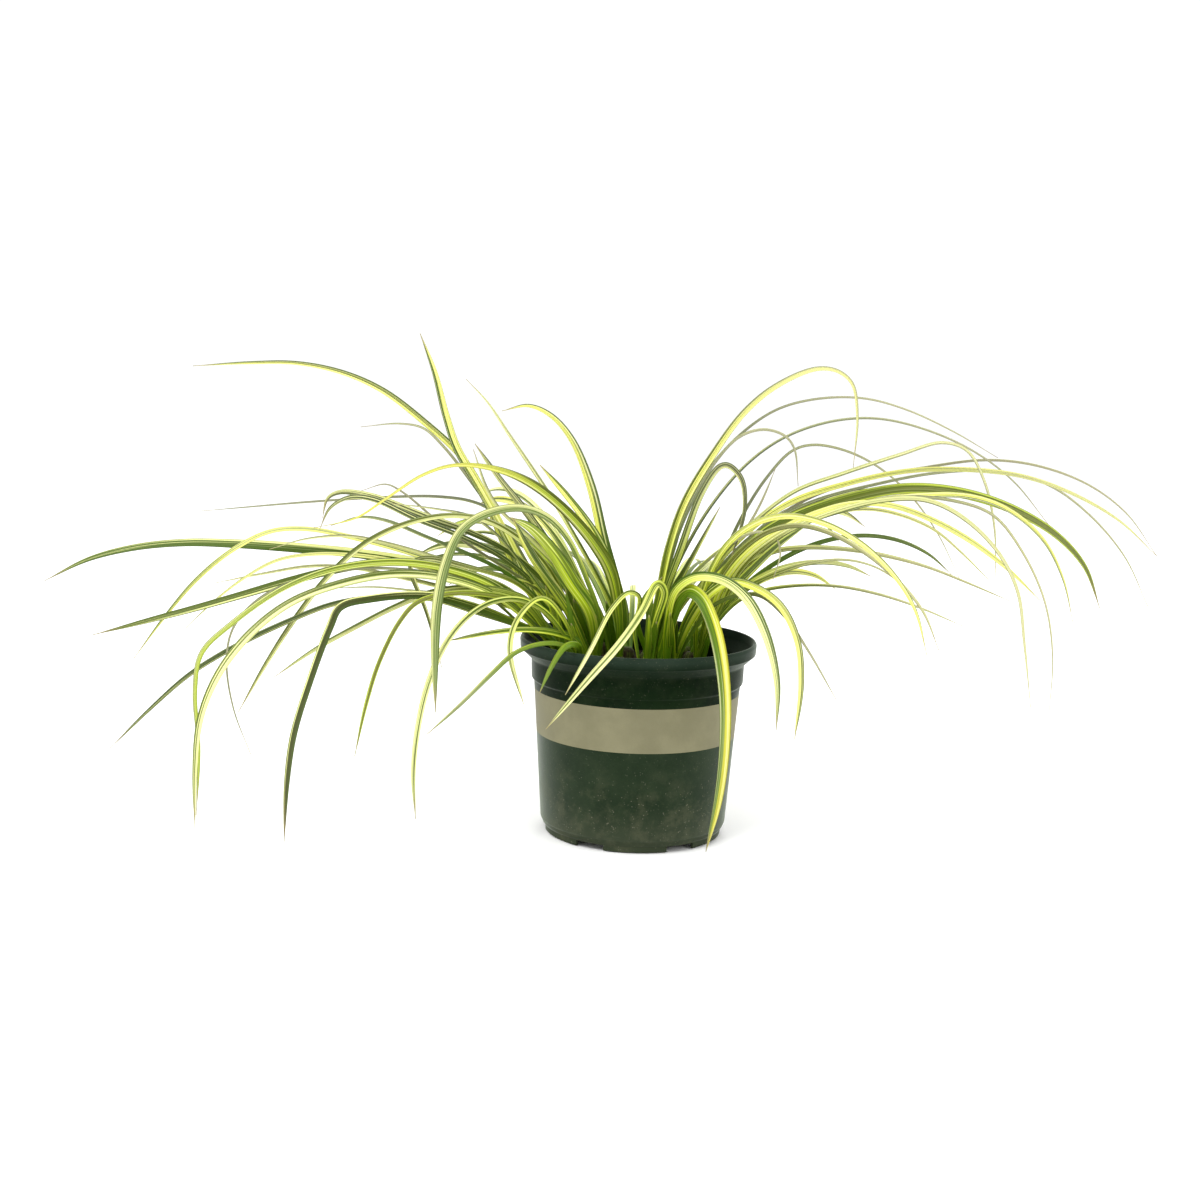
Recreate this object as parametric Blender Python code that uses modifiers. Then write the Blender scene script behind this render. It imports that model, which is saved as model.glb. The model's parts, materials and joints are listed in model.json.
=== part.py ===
# Potted sweet flag: a nursery pot, its soil and two tufts of arching striped leaves.
# Units are metres. Leaf outlines are given in millimetres, as noted where they start.
import math

import bmesh
import bpy
import numpy as np

MM = 0.001

# The pot's axis stands this far from the middle of the plant's spread, which is the origin.
AXIS_X = 0.0177
AXIS_Y = -0.0505

# Pot: a 2.4 litre nursery pot. Its section is given as (radius, height) points in millimetres: the inside
# from the middle of the floor up to the lip, then the lip and neck, the wall, and the notched foot.
POT_INSIDE = (
    (0.0, 5.8), (60.2, 5.8), (63.7, 9.5), (70.8, 108.1), (72.5, 109.7), (72.9, 123.1),
    (79.1, 129.6), (79.9, 131.0), (80.1, 136.4), (80.5, 137.0),
)
POT_LIP = (
    (81.1, 137.0), (82.2, 136.6), (82.5, 135.6), (82.1, 129.0), (81.2, 128.0),
    (74.9, 122.5), (74.3, 121.5), (73.9, 108.3),
)
POT_WALL = ((72.2, 106.9), (71.7, 101.0), (69.5, 70.5), (65.1, 9.0))
POT_FOOT = ((63.5, 5.5), (62.4, 4.2), (62.0, 0.0), (59.4, 0.0), (59.4, 4.2), (0.0, 4.2))
BAND = (70.5, 101.0)
WALL_THICKNESS = 1.4
POT_SIDES = 44
POT_TOP = 0.137
UNDERSIDE = 0.0042
FLOOR_THICKNESS = 0.0016
NOTCH_COUNT = 6
NOTCH_SIZE = (0.0210, 0.0120, 0.0080)
NOTCH_RING = 0.0609
NOTCH_TURN = math.radians(-27.5)
DRAIN_RADIUS = 0.0050
DRAIN_RING = 0.0420
DRAIN_SIDES = 12

# Soil: it fills the pot to a little below the rim, a hair inside the wall, and rises to the middle.
SOIL_SIDE = ((72.1, 115.0), (70.5, 107.7), (63.1, 10.5), (59.2, 6.1), (0.0, 6.1))
SOIL_RISE = 0.0015
SOIL_LUMP = 0.0007
SOIL_LUMPS = (170.0, 140.0)
SOIL_SIDES = 32
SOIL_RINGS = 3
SEAT_GAP = 0.0003

# Crowns: the short rhizome stub that each fan of leaves grows from, sunk in its hole in the soil.
CROWN_RADIUS = 0.0070
CROWN_NECK_RADIUS = 0.0052
CROWN_TOP = 0.1235
CROWN_DEPTH = 0.0170
CROWN_SIDES = 8
HOLE_RADIUS = 0.0074

# Leaves. All lengths below are in millimetres.
ROOT_HEIGHT = 117.0
ROOT_SPREAD = 2.6
EYE_DISTANCE = 1200.0
EYE_HEIGHT = 346.0
FACE_TURN = math.radians(30.0)
WIDTH_FACTOR = 1.12
ROOT_SHARE = 0.46
FULL_WIDTH_AT = 0.22
OUTER_SPAN = (0.22, 0.80)
TIP_POWER = 9
PLAIN_WIDTHS = (1.19, 0.90)
BLADE_THICKNESS = 1.3
ROOT_THICKNESS = 2.2
TIP_THICKNESS = 0.64
TIP_WIDTH = 0.9
STEP_LENGTH = 36.0
FEWEST_STEPS = 6
MOST_STEPS = 11
BEND_WEIGHT = 45.0
CLEARANCE = 1.1
FLOOR_CLEARANCE = 12.0
SETTLE_ROUNDS = 400
SEED = 7

# Each fan: its crown (x, y from the pot's axis) and its leaves. A leaf is (width, depth of its tip, points
# from the crown outward). A point is (x, z) as drawn in the upright plane through the pot's axis, seen
# from the eye; the leaf is then pushed along the line of sight to its depth. A third number is a point's
# own depth. A width is one number, or a pair: the lower blade's and the outer blade's.
FANS = {
    "leaf_fan_left_1": ((-38, 33), [
        ((6.2, 3.2), 95, [(-75, 162), (-97, 203), (-120, 251), (-150, 280), (-190, 307), (-238, 319),
                          (-312, 315)]),
        ((7.8, 5.6), 55, [(-69, 160), (-93, 203), (-112, 236), (-131, 268), (-146, 317), (-156, 342)]),
        ((3.2, 2.0), 125, [(-79, 172), (-108, 227), (-127, 251), (-150, 276), (-165, 280), (-196, 277)]),
        ((2.6, 1.8), 155, [(-74, 178), (-106, 223), (-132, 230), (-163, 230), (-222, 225), (-308, 215)]),
    ]),
    "leaf_fan_left_2": ((-14, -2), [
        ((4.0, 2.4), 45, [(-17, 152), (-40, 195), (-65, 235), (-88, 267), (-110, 298), (-124, 312)]),
        ((9.6, 4.2), -34, [(-14, 150), (-22, 185), (-36, 205), (-67, 235), (-98, 250), (-135, 252),
                           (-165, 238), (-194, 216), (-228, 206)]),
        ((8.6, 5.4), -2, [(-13, 156), (-24, 192), (-41, 220), (-72, 255)]),
        ((8.4, 5.0), 22, [(-12, 155), (-22, 186), (-37, 243), (-57, 282), (-79, 295), (-99, 291)]),
    ]),
    "leaf_fan_left_3": ((-30, -12), [
        ((4.0, 7.2), -133, [(-28, 153), (-38, 177), (-57, 212), (-79, 224), (-105, 221), (-125, 208),
                            (-139, 170), (-142, 123), (-141, 78)]),
        (6.0, 4, [(-35, 153), (-76, 216), (-99, 244), (-117, 268)]),
        (3.0, 18, [(-38, 160), (-78, 205), (-103, 228), (-118, 264)]),
        ((12.0, 9.0), -28, [(-31, 149), (-47, 174), (-59, 192), (-77, 211), (-92, 218)]),
        ((7.6, 6.0), -45, [(-53, 161), (-61, 171), (-79, 197), (-90, 218)]),
        ((2.4, 1.8), 12, [(-46, 141), (-77, 177), (-90, 195), (-117, 217), (-152, 223), (-176, 225)]),
    ]),
    "leaf_fan_left_4": ((-42, 9), [
        ((4.4, 4.6), -56, [(-50, 156), (-70, 190), (-100, 212), (-130, 218), (-180, 204), (-218, 172),
                           (-252, 124), (-281, 73)]),
        ((3.4, 5.6), 24, [(-54, 158), (-95, 196), (-146, 215), (-195, 231), (-212, 231), (-219, 226),
                          (-222, 213)]),
        ((3.2, 5.2), -6, [(-57, 154), (-100, 192), (-150, 212), (-197, 229), (-216, 221), (-224, 205)]),
        ((2.6, 2.0), 38, [(-54, 152), (-90, 180), (-128, 203), (-165, 232), (-177, 238), (-195, 233)]),
        ((2.8, 2.8), -16, [(-58, 148), (-95, 180), (-136, 197), (-190, 215), (-216, 208)]),
        ((3.0, 3.6), -30, [(-80, 168), (-111, 180), (-138, 186), (-153, 187), (-160, 182), (-157, 170),
                           (-150, 154), (-137, 110)]),
        ((2.4, 2.2), -10, [(-52, 154), (-72, 171), (-95, 177), (-132, 186), (-164, 194), (-199, 201),
                           (-239, 197), (-259, 190)]),
    ]),
    "leaf_fan_left_5": ((-50, 23), [
        (4.0, 10, [(-85, 163), (-135, 183), (-200, 200), (-246, 205), (-273, 196), (-312, 165),
                   (-355, 109)]),
        ((7.4, 6.2), 30, [(-62, 141), (-85, 156), (-130, 178), (-177, 187), (-250, 192), (-326, 192),
                          (-380, 181), (-418, 162)]),
        (6.0, -12, [(-90, 158), (-153, 183), (-189, 182), (-238, 170), (-300, 150), (-384, 125)]),
        (3.0, -2, [(-95, 160), (-150, 180), (-200, 188), (-252, 183), (-292, 157), (-318, 132)]),
        (3.0, 44, [(-62, 142), (-90, 155), (-150, 170), (-217, 180), (-262, 173), (-297, 165)]),
        ((2.2, 1.6), -30, [(-66, 146), (-95, 161), (-139, 163), (-183, 166), (-215, 164)]),
    ]),
    "leaf_fan_left_6": ((-47, -25), [
        (5.5, -125, [(-95, 160), (-160, 176), (-232, 159), (-265, 137), (-292, 105), (-307, 71),
                     (-312, 29), (-312, -15)]),
        (4.5, -98, [(-95, 166), (-160, 184), (-231, 172), (-278, 142), (-304, 119), (-311, 100),
                    (-309, 50), (-311, -3)]),
        ((4.4, 3.6), -62, [(-62, 134), (-77, 140), (-92, 143), (-130, 156), (-162, 160), (-210, 154),
                           (-251, 137), (-309, 104), (-350, 67), (-373, 43)]),
        ((5.4, 5.8), -135, [(-60, 133), (-97, 147), (-124, 157), (-144, 161), (-177, 159), (-199, 155),
                            (-210, 150), (-216, 137), (-233, 88), (-244, 45), (-248, -21)]),
        ((4.2, 4.2), -78, [(-77, 159), (-90, 165), (-117, 168), (-150, 162), (-191, 141), (-221, 124),
                           (-256, 99)]),
        ((3.6, 3.8), -112, [(-77, 155), (-92, 161), (-117, 164), (-142, 161), (-158, 154), (-170, 137),
                            (-185, 102), (-198, 44)]),
        ((2.4, 1.8), -70, [(-120, 170), (-200, 178), (-262, 158), (-287, 127), (-285, 79), (-272, 43)]),
    ]),
    "leaf_fan_left_7": ((-38, -40), [
        ((3.6, 4.4), -84, [(-60, 148), (-77, 159), (-90, 161), (-110, 155), (-127, 139), (-139, 119),
                           (-150, 85), (-156, 38), (-154, 0)]),
        (4.5, -62, [(-43, 132), (-57, 138), (-87, 139), (-132, 130)]),
        ((2.4, 4.4), -96, [(-48, 140, -50), (-58, 154), (-64, 161), (-70, 162), (-79, 155), (-87, 142),
                           (-90, 128), (-86, 112), (-79, 86)]),
        (3.0, -118, [(-50, 128, -64), (-67, 130, -80), (-87, 122, -92), (-115, 93, -106), (-147, 62)]),
        (4.0, -98, [(-42, 129, -66), (-50, 129, -76), (-61, 112, -90), (-68, 95)]),
    ]),
    "leaf_fan_right_1": ((6, 15), [
        ((6.8, 2.8), 18, [(15, 176), (22, 214), (35, 245), (71, 300), (95, 318), (121, 327), (138, 319),
                          (144, 295), (143, 260)]),
        ((2.8, 1.8), 112, [(20, 190), (35, 240), (68, 283), (99, 302), (152, 307), (205, 289),
                           (241, 270)]),
        ((2.8, 1.8), 82, [(24, 185), (50, 235), (88, 275), (144, 294), (199, 285), (246, 260),
                          (278, 226)]),
        ((2.8, 2.2), 42, [(22, 200), (45, 255), (65, 279), (84, 284), (100, 276), (106, 246)]),
        ((2.8, 2.0), 62, [(30, 160), (60, 200), (77, 225), (90, 258)]),
    ]),
    "leaf_fan_right_2": ((12, -5), [
        ((5.2, 4.2), -14, [(15, 160), (24, 190), (34, 220), (45, 250), (55, 259), (64, 254), (70, 240),
                           (69, 222), (61, 190)]),
        ((6.4, 3.6), -2, [(14, 150), (27, 178), (39, 202), (53, 230)]),
        ((7.2, 5.0), -6, [(25, 135), (40, 145), (65, 174), (94, 205), (116, 222)]),
        ((4.4, 3.6), -10, [(-1, 147), (3, 164), (9, 173), (15, 180)]),
        ((3.2, 2.0), -22, [(24, 165), (50, 196), (76, 213), (91, 211), (96, 199), (91, 178)]),
    ]),
    "leaf_fan_right_3": ((26, 7), [
        ((8.8, 6.4), 14, [(38, 150), (60, 180), (85, 213), (140, 238), (181, 247), (228, 243), (276, 224),
                          (304, 199), (318, 168)]),
        ((5.6, 3.8), -6, [(36, 158), (80, 205), (140, 232), (200, 243), (241, 239), (278, 212),
                          (298, 169), (300, 158)]),
        ((4.2, 3.0), 58, [(40, 170), (90, 228), (162, 255), (202, 261), (268, 256), (326, 230),
                          (354, 206)]),
        ((3.0, 1.9), 86, [(40, 166), (90, 222), (162, 250), (235, 261), (282, 250), (329, 209),
                          (351, 170)]),
        ((2.6, 1.8), 132, [(50, 180), (110, 236), (193, 262), (252, 268), (307, 252), (335, 231),
                           (354, 206)]),
        ((3.2, 2.3), 34, [(45, 180), (100, 240), (161, 264), (200, 279), (220, 274), (239, 236),
                          (245, 180)]),
    ]),
    "leaf_fan_right_4": ((38, 24), [
        ((4.0, 2.8), 32, [(60, 175), (88, 199), (133, 204), (191, 195), (257, 171)]),
        ((3.2, 2.2), 62, [(66, 169), (92, 184), (131, 196), (159, 193), (185, 178)]),
        ((3.2, 2.3), 92, [(70, 166), (120, 178), (174, 171), (224, 153)]),
        ((2.6, 1.7), 112, [(55, 190), (80, 245), (106, 273), (142, 270), (175, 250), (201, 220),
                           (220, 186)]),
        ((3.4, 2.3), 48, [(70, 185), (115, 222), (157, 232), (201, 219), (230, 195), (244, 182)]),
    ]),
    "leaf_fan_right_5": ((40, -12), [
        ((5.4, 4.4), -34, [(66, 190), (120, 228), (162, 236), (212, 220), (255, 192), (277, 172)]),
        ((3.8, 2.7), -56, [(75, 195), (140, 232), (196, 239), (234, 217), (258, 185), (268, 140),
                           (275, 97)]),
        ((2.8, 1.8), -20, [(80, 200), (160, 238), (210, 240), (241, 230), (275, 183), (287, 140),
                           (288, 90)]),
        ((4.8, 3.6), -76, [(42, 165), (60, 205), (86, 223), (114, 224), (151, 208), (185, 174),
                           (197, 146), (201, 131)]),
        ((4.0, 2.9), -58, [(52, 175), (80, 210), (110, 219), (149, 205), (193, 167), (209, 135)]),
    ]),
    "leaf_fan_right_6": ((22, -30), [
        ((9.6, 8.2), -112, [(24, 158, -38), (33, 170, -46), (43, 165, -60), (52, 146, -79),
                            (60, 112, -92), (63, 71, -99), (61, 29, -104), (53, -16)]),
        ((6.6, 6.2), -90, [(22, 166, -38), (36, 180, -48), (58, 179, -60), (75, 166, -70), (91, 136, -79),
                           (99, 100, -85), (99, 74)]),
        (5.5, -62, [(42, 162, -34), (62, 178), (75, 176), (91, 169), (106, 150), (114, 122), (114, 93),
                    (112, 68)]),
        (2.5, -50, [(50, 160, -32), (80, 170), (100, 156), (111, 143), (125, 121), (140, 97)]),
    ]),
    "leaf_fan_right_7": ((4, -45), [
        ((4.6, 5.4), -110, [(14, 156, -48), (17, 170, -53), (12, 175, -61), (6, 164, -71), (-4, 144, -87),
                            (-29, 112, -101), (-63, 69)]),
        ((3.2, 3.8), -100, [(-3, 148, -46), (0, 160, -52), (-1, 166, -58), (-8, 168, -66),
                            (-20, 155, -78), (-38, 116, -94), (-50, 94)]),
    ]),
}

# Fans whose leaves grow towards the back: the crown, how many leaves, and the ranges of their bearings
# (degrees from +X towards +Y), of their lengths, and of their lean from upright where they start.
BACK_FANS = {
    "leaf_fan_back_1": ((-28, 50), 7, (116, 165), (150, 270), (28, 44)),
    "leaf_fan_back_2": ((-8, 34), 5, (88, 112), (110, 190), (50, 56)),
    "leaf_fan_back_3": ((34, 46), 7, (14, 60), (150, 280), (26, 42)),
    "leaf_fan_back_4": ((14, 50), 5, (64, 90), (110, 190), (43, 49)),
}
BACK_DROOP = (95.0, 138.0)
BACK_WIDTH = (3.6, 6.8)

# Young leaves: a few short, nearly upright ones in the middle of every other fan.
YOUNG_COUNT = 2
YOUNG_LENGTH = (34, 60)
YOUNG_LEAN = (3.0, 14.0)
YOUNG_DROOP = (12.0, 32.0)
YOUNG_WIDTH = (3.6, 5.6)


def eye_scale(depth):
    """How much further from the eye a point at this depth is than the plane through the pot's axis."""
    return 1.0 + depth / EYE_DISTANCE


def placed(drawn):
    """The real places, in mm from the pot's axis, of points given as drawn x, depth and drawn z."""
    scale = eye_scale(drawn[..., 1])
    height = EYE_HEIGHT + (drawn[..., 2] - EYE_HEIGHT) * scale
    return np.stack([drawn[..., 0] * scale, drawn[..., 1], height], axis=-1)


def as_drawn(real):
    """The other way round: real places to drawn x, depth and drawn z."""
    scale = eye_scale(real[..., 1])
    height = EYE_HEIGHT + (real[..., 2] - EYE_HEIGHT) / scale
    return np.stack([real[..., 0] / scale, real[..., 1], height], axis=-1)


def smooth_through(points, per_span=14):
    """A dense curve through the points: a centripetal Catmull-Rom spline."""
    p = np.vstack([2 * points[0] - points[1], points, 2 * points[-1] - points[-2]])
    t = np.concatenate([[0.0], np.cumsum(np.sqrt(np.linalg.norm(np.diff(p, axis=0), axis=1)))])
    pieces = []
    for i in range(1, len(p) - 2):
        s = np.linspace(t[i], t[i + 1], per_span, endpoint=False)[:, None]
        a1 = ((t[i] - s) * p[i - 1] + (s - t[i - 1]) * p[i]) / (t[i] - t[i - 1])
        a2 = ((t[i + 1] - s) * p[i] + (s - t[i]) * p[i + 1]) / (t[i + 1] - t[i])
        a3 = ((t[i + 2] - s) * p[i + 1] + (s - t[i + 1]) * p[i + 2]) / (t[i + 2] - t[i + 1])
        b1 = ((t[i + 1] - s) * a1 + (s - t[i - 1]) * a2) / (t[i + 1] - t[i - 1])
        b2 = ((t[i + 2] - s) * a2 + (s - t[i]) * a3) / (t[i + 2] - t[i])
        pieces.append(((t[i + 1] - s) * b1 + (s - t[i]) * b2) / (t[i + 1] - t[i]))
    return np.vstack(pieces + [points[-1:]])


def leaf_stations(curve):
    """A few points along the curve, closer together where it bends."""
    steps = np.diff(curve, axis=0)
    length = np.linalg.norm(steps, axis=1)
    heading = steps / length[:, None]
    turn = np.zeros(len(length))
    turn[1:] = np.arccos(np.clip((heading[1:] * heading[:-1]).sum(axis=1), -1, 1))
    travel = np.concatenate([[0.0], np.cumsum(length + BEND_WEIGHT * turn)])
    count = int(np.clip(round(length.sum() / STEP_LENGTH) + 2, FEWEST_STEPS, MOST_STEPS))
    at = np.linspace(0.0, travel[-1], count + 1)
    return np.stack([np.interp(at, travel, curve[:, axis]) for axis in range(3)], axis=-1)


def root_of(crown, number, count, side):
    """Where a leaf starts in its crown: the leaves of a fan stand in a flat row."""
    offset = ROOT_SPREAD * (2.0 * number / max(count - 1, 1) - 1.0)
    return as_drawn(np.array([crown[0] + side * offset, crown[1] + 0.3 * offset, ROOT_HEIGHT]))


def traced_curve(root, tip_depth, points):
    """The smooth curve of a leaf given by its drawn points, with its depth easing from root to tip."""
    flat = np.array([(root[0], root[2])] + [p[:2] for p in points], float)
    run = np.concatenate([[0.0], np.cumsum(np.linalg.norm(np.diff(flat, axis=0), axis=1))])
    known = [(0.0, root[1]), (run[-1], tip_depth)]
    known += [(run[i + 1], p[2]) for i, p in enumerate(points) if len(p) > 2]
    known.sort()
    depth = np.interp(run, [k[0] for k in known], [k[1] for k in known])
    return smooth_through(np.stack([flat[:, 0], depth, flat[:, 1]], axis=-1))


def arching_curve(root, bearing, lean, droop, length):
    """A leaf that leaves its crown at an angle from upright and bends over as it goes, in real places."""
    s = np.linspace(0.0, 1.0, 60)
    angle = np.radians(lean + (droop - lean) * s ** 1.5)
    step = length / (len(s) - 1)
    out = np.concatenate([[0.0], np.cumsum(np.sin(angle[:-1]) * step)])
    up = np.concatenate([[0.0], np.cumsum(np.cos(angle[:-1]) * step)])
    heading = math.radians(bearing)
    start = placed(root)
    real = np.stack(
        [start[0] + out * math.cos(heading), start[1] + out * math.sin(heading), start[2] + up], axis=-1
    )
    return as_drawn(real)


def width_pair(width):
    """The widths of the lower and the outer blade."""
    if isinstance(width, tuple):
        return width
    return tuple(width * share for share in PLAIN_WIDTHS)


def plan_leaves():
    """Every leaf: its fan, width, stations (drawn x, depth, drawn z) and which way its face turns."""
    draw = np.random.default_rng(SEED)
    leaves = []
    for fan, (crown, traced) in FANS.items():
        side = 1 if crown[0] > -12 else -1
        count = len(traced) + YOUNG_COUNT
        for number, (width, tip_depth, points) in enumerate(traced):
            curve = traced_curve(root_of(crown, number, count, side), tip_depth, points)
            turn = FACE_TURN * (1 if points[-1][0] > points[0][0] else -1)
            at = leaf_stations(curve)
            leaves.append({"fan": fan, "width": width_pair(width), "at": at, "turn": turn})
        for number in range(len(traced), count):
            root = root_of(crown, number, count, side)
            bearing = math.degrees(math.atan2(crown[1], crown[0])) + draw.uniform(-50, 50)
            lean, droop = draw.uniform(*YOUNG_LEAN), draw.uniform(*YOUNG_DROOP)
            curve = arching_curve(root, bearing, lean, droop, draw.uniform(*YOUNG_LENGTH))
            width = width_pair(draw.uniform(*YOUNG_WIDTH))
            turn = FACE_TURN * side
            leaves.append({"fan": fan, "width": width, "at": leaf_stations(curve), "turn": turn})
    for fan, (crown, count, bearings, lengths, leans) in BACK_FANS.items():
        side = 1 if crown[0] > 0 else -1
        for number in range(count):
            bearing = bearings[0] + (bearings[1] - bearings[0]) * (number + draw.uniform(0.2, 0.8)) / count
            curve = arching_curve(
                root_of(crown, number, count, side), bearing,
                draw.uniform(*leans), draw.uniform(*BACK_DROOP), draw.uniform(*lengths),
            )
            width = width_pair(draw.uniform(*BACK_WIDTH))
            turn = FACE_TURN * side
            leaves.append({"fan": fan, "width": width, "at": leaf_stations(curve), "turn": turn})
    return leaves


def half_widths(leaf):
    """Half the blade's width at each station: narrow at the root, full soon after, then a slow taper."""
    step = np.linalg.norm(np.diff(placed(leaf["at"]), axis=0), axis=1)
    s = np.concatenate([[0.0], np.cumsum(step)]) / step.sum()
    lower, outer = leaf["width"]
    rise = ROOT_SHARE + (1.0 - ROOT_SHARE) * np.clip(s / FULL_WIDTH_AT, 0, 1)
    width = np.interp(s, OUTER_SPAN, (lower, outer)) * rise * (1.0 - s ** TIP_POWER)
    return np.maximum(0.5 * WIDTH_FACTOR * width, 0.5 * TIP_WIDTH), s


def half_thicknesses(s):
    root = np.clip(1 - s / 0.2, 0, 1)
    body = BLADE_THICKNESS + (TIP_THICKNESS - BLADE_THICKNESS) * s
    return 0.5 * (body + (ROOT_THICKNESS - BLADE_THICKNESS) * root)


def blade_axes(leaf):
    """At each station: along the blade, across its width, and out of its face."""
    real = placed(leaf["at"])
    along = np.gradient(real, axis=0)
    along /= np.linalg.norm(along, axis=1)[:, None]
    sight = real - np.array([0.0, -EYE_DISTANCE, EYE_HEIGHT])
    sight /= np.linalg.norm(sight, axis=1)[:, None]
    broad = np.cross(along, sight)
    level = np.cross(along, [0.0, 0.0, 1.0])
    away = sight - (sight * along).sum(axis=1)[:, None] * along
    across = math.cos(leaf["turn"]) * broad + math.sin(leaf["turn"]) * away
    level *= np.where((level * across).sum(axis=1) < 0, -1.0, 1.0)[:, None]
    end_on = np.clip(1.0 - np.linalg.norm(broad, axis=1) / 0.5, 0, 1)[:, None]
    across = across * (1 - end_on) + level * end_on
    for k in range(1, len(across)):
        if across[k] @ across[k - 1] < 0:
            across[k] *= -1
    across -= (across * along).sum(axis=1)[:, None] * along
    across /= np.linalg.norm(across, axis=1)[:, None]
    return along, across, np.cross(along, across)


def nearest_on(points, starts, ends):
    """For each point and segment in the drawn plane: the share along the segment and the distance."""
    span = ends - starts
    share = ((points[:, None] - starts[None]) * span[None]).sum(axis=2) / (span ** 2).sum(axis=1)[None]
    share = np.clip(share, 0, 1)
    foot = starts[None] + share[..., None] * span[None]
    return share, np.linalg.norm(points[:, None] - foot, axis=2)


def contacts_between(a, b, reach_a, reach_b):
    """Where two leaves pass near each other in the drawn plane: shares along each, as station numbers."""
    flat_a, flat_b = a[:, [0, 2]], b[:, [0, 2]]
    lowest = np.maximum(flat_a.min(axis=0), flat_b.min(axis=0))
    highest = np.minimum(flat_a.max(axis=0), flat_b.max(axis=0))
    if (lowest - highest).max() > reach_a.max() + reach_b.max():
        return []
    found = []
    for one, two, reach_one, reach_two, swapped in (
        (flat_a, flat_b, reach_a, reach_b, False), (flat_b, flat_a, reach_b, reach_a, True),
    ):
        numbers = np.arange(0, len(one) - 0.99, 0.25)
        samples = np.stack([np.interp(numbers, np.arange(len(one)), one[:, i]) for i in range(2)], axis=-1)
        share, distance = nearest_on(samples, two[:-1], two[1:])
        reach = np.interp(numbers, np.arange(len(one)), reach_one)[:, None] + reach_two[None, :-1]
        for m, n in zip(*np.nonzero(distance < reach + CLEARANCE)):
            pair = (numbers[m], n + share[m, n])
            found.append(pair[::-1] if swapped else pair)
    return found


def settle(leaves):
    """Pushes leaves apart along the line of sight until each clears the others it passes."""
    first = np.cumsum([0] + [len(leaf["at"]) for leaf in leaves])
    depth = np.concatenate([leaf["at"][:, 1] for leaf in leaves])
    start = depth.copy()
    drawn_z = np.concatenate([leaf["at"][:, 2] for leaf in leaves])
    number = np.concatenate([np.arange(len(leaf["at"])) for leaf in leaves])
    free = np.clip((number - 0.5) / 2.5, 0, 1)
    half, deep = [], []
    for leaf in leaves:
        along, across, face = blade_axes(leaf)
        a, s = half_widths(leaf)
        b = half_thicknesses(s)
        real = placed(leaf["at"])
        sight = real - np.array([0.0, -EYE_DISTANCE, EYE_HEIGHT])
        sight /= np.linalg.norm(sight, axis=1)[:, None]
        end_on = np.maximum(np.linalg.norm(np.cross(along, sight), axis=1), 0.35)
        into = np.abs((across * sight).sum(axis=1))
        half.append(a * np.sqrt(1 - np.minimum(into, 0.99) ** 2) + b)
        deep.append((a * into + b) / end_on)
    rows = []
    for i, one in enumerate(leaves):
        for j in range(i + 1, len(leaves)):
            two = leaves[j]
            same = one["fan"] == two["fan"]
            for m, n in contacts_between(one["at"], two["at"], half[i], half[j]):
                if same and min(m, n) < 3:
                    continue
                need = np.interp(m, range(len(deep[i])), deep[i])
                need += np.interp(n, range(len(deep[j])), deep[j])
                rows.append((first[i] + m, first[j] + n, need + (0.0 if same else CLEARANCE)))
    rows = np.array(rows)
    low = [np.floor(rows[:, c] - 1e-9).astype(int) for c in range(2)]
    low = [np.maximum(low[0], 0), np.maximum(low[1], 0)]
    part = [rows[:, c] - low[c] for c in range(2)]
    need = rows[:, 2]
    highest = EYE_DISTANCE * ((EYE_HEIGHT - FLOOR_CLEARANCE) / np.maximum(EYE_HEIGHT - drawn_z, 1.0) - 1)
    side = None
    for _ in range(SETTLE_ROUNDS):
        at = [depth[low[c]] * (1 - part[c]) + depth[low[c] + 1] * part[c] for c in range(2)]
        gap = at[0] - at[1]
        if side is None:
            side = np.where(gap >= 0, 1.0, -1.0)
        short = np.maximum(need - side * gap, 0.0)
        push = np.zeros(len(depth))
        weight = np.full(len(depth), 1e-6)
        for c, way in ((0, 1.0), (1, -1.0)):
            for node, share in ((low[c], 1 - part[c]), (low[c] + 1, part[c])):
                np.add.at(push, node, 0.5 * way * side * short * share)
                np.add.at(weight, node, share * (short > 0))
        depth = depth + 1.2 * free * push / np.maximum(weight, 1.0)
        moved = depth - start
        for i in range(len(leaves)):
            own = moved[first[i]:first[i + 1]]
            own[1:-1] += 0.12 * (own[:-2] + own[2:] - 2 * own[1:-1])
        depth = np.minimum(start + moved, np.maximum(highest, start))
    for i, leaf in enumerate(leaves):
        leaf["at"][:, 1] = depth[first[i]:first[i + 1]]


def new_object(name, mesh, collection):
    obj = bpy.data.objects.new(name, mesh)
    collection.objects.link(obj)
    return obj


def principled(name, color, roughness):
    material = bpy.data.materials.new(name)
    material.use_nodes = True
    shader = material.node_tree.nodes["Principled BSDF"]
    shader.inputs["Base Color"].default_value = (*color, 1.0)
    shader.inputs["Roughness"].default_value = roughness
    material.diffuse_color = (*color, 1.0)
    return material


def blade_mesh(name, leaf):
    """A loft of diamond sections along the leaf, closed at both ends."""
    real = placed(leaf["at"])
    along, across, face = blade_axes(leaf)
    half, s = half_widths(leaf)
    thick = half_thicknesses(s)
    work = bmesh.new()
    rings = []
    for k in range(len(real)):
        corners = (
            real[k] + across[k] * half[k], real[k] + face[k] * thick[k],
            real[k] - across[k] * half[k], real[k] - face[k] * thick[k],
        )
        rings.append([work.verts.new(corner * MM) for corner in corners])
    for near, far in zip(rings, rings[1:]):
        for c in range(4):
            n = (c + 1) % 4
            work.faces.new((near[c], near[n], far[n], far[c]))
    work.faces.new(rings[0][::-1])
    work.faces.new(rings[-1])
    bmesh.ops.triangulate(work, faces=work.faces)
    bmesh.ops.recalc_face_normals(work, faces=work.faces)
    mesh = bpy.data.meshes.new(name)
    work.to_mesh(mesh)
    work.free()
    return mesh


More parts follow.
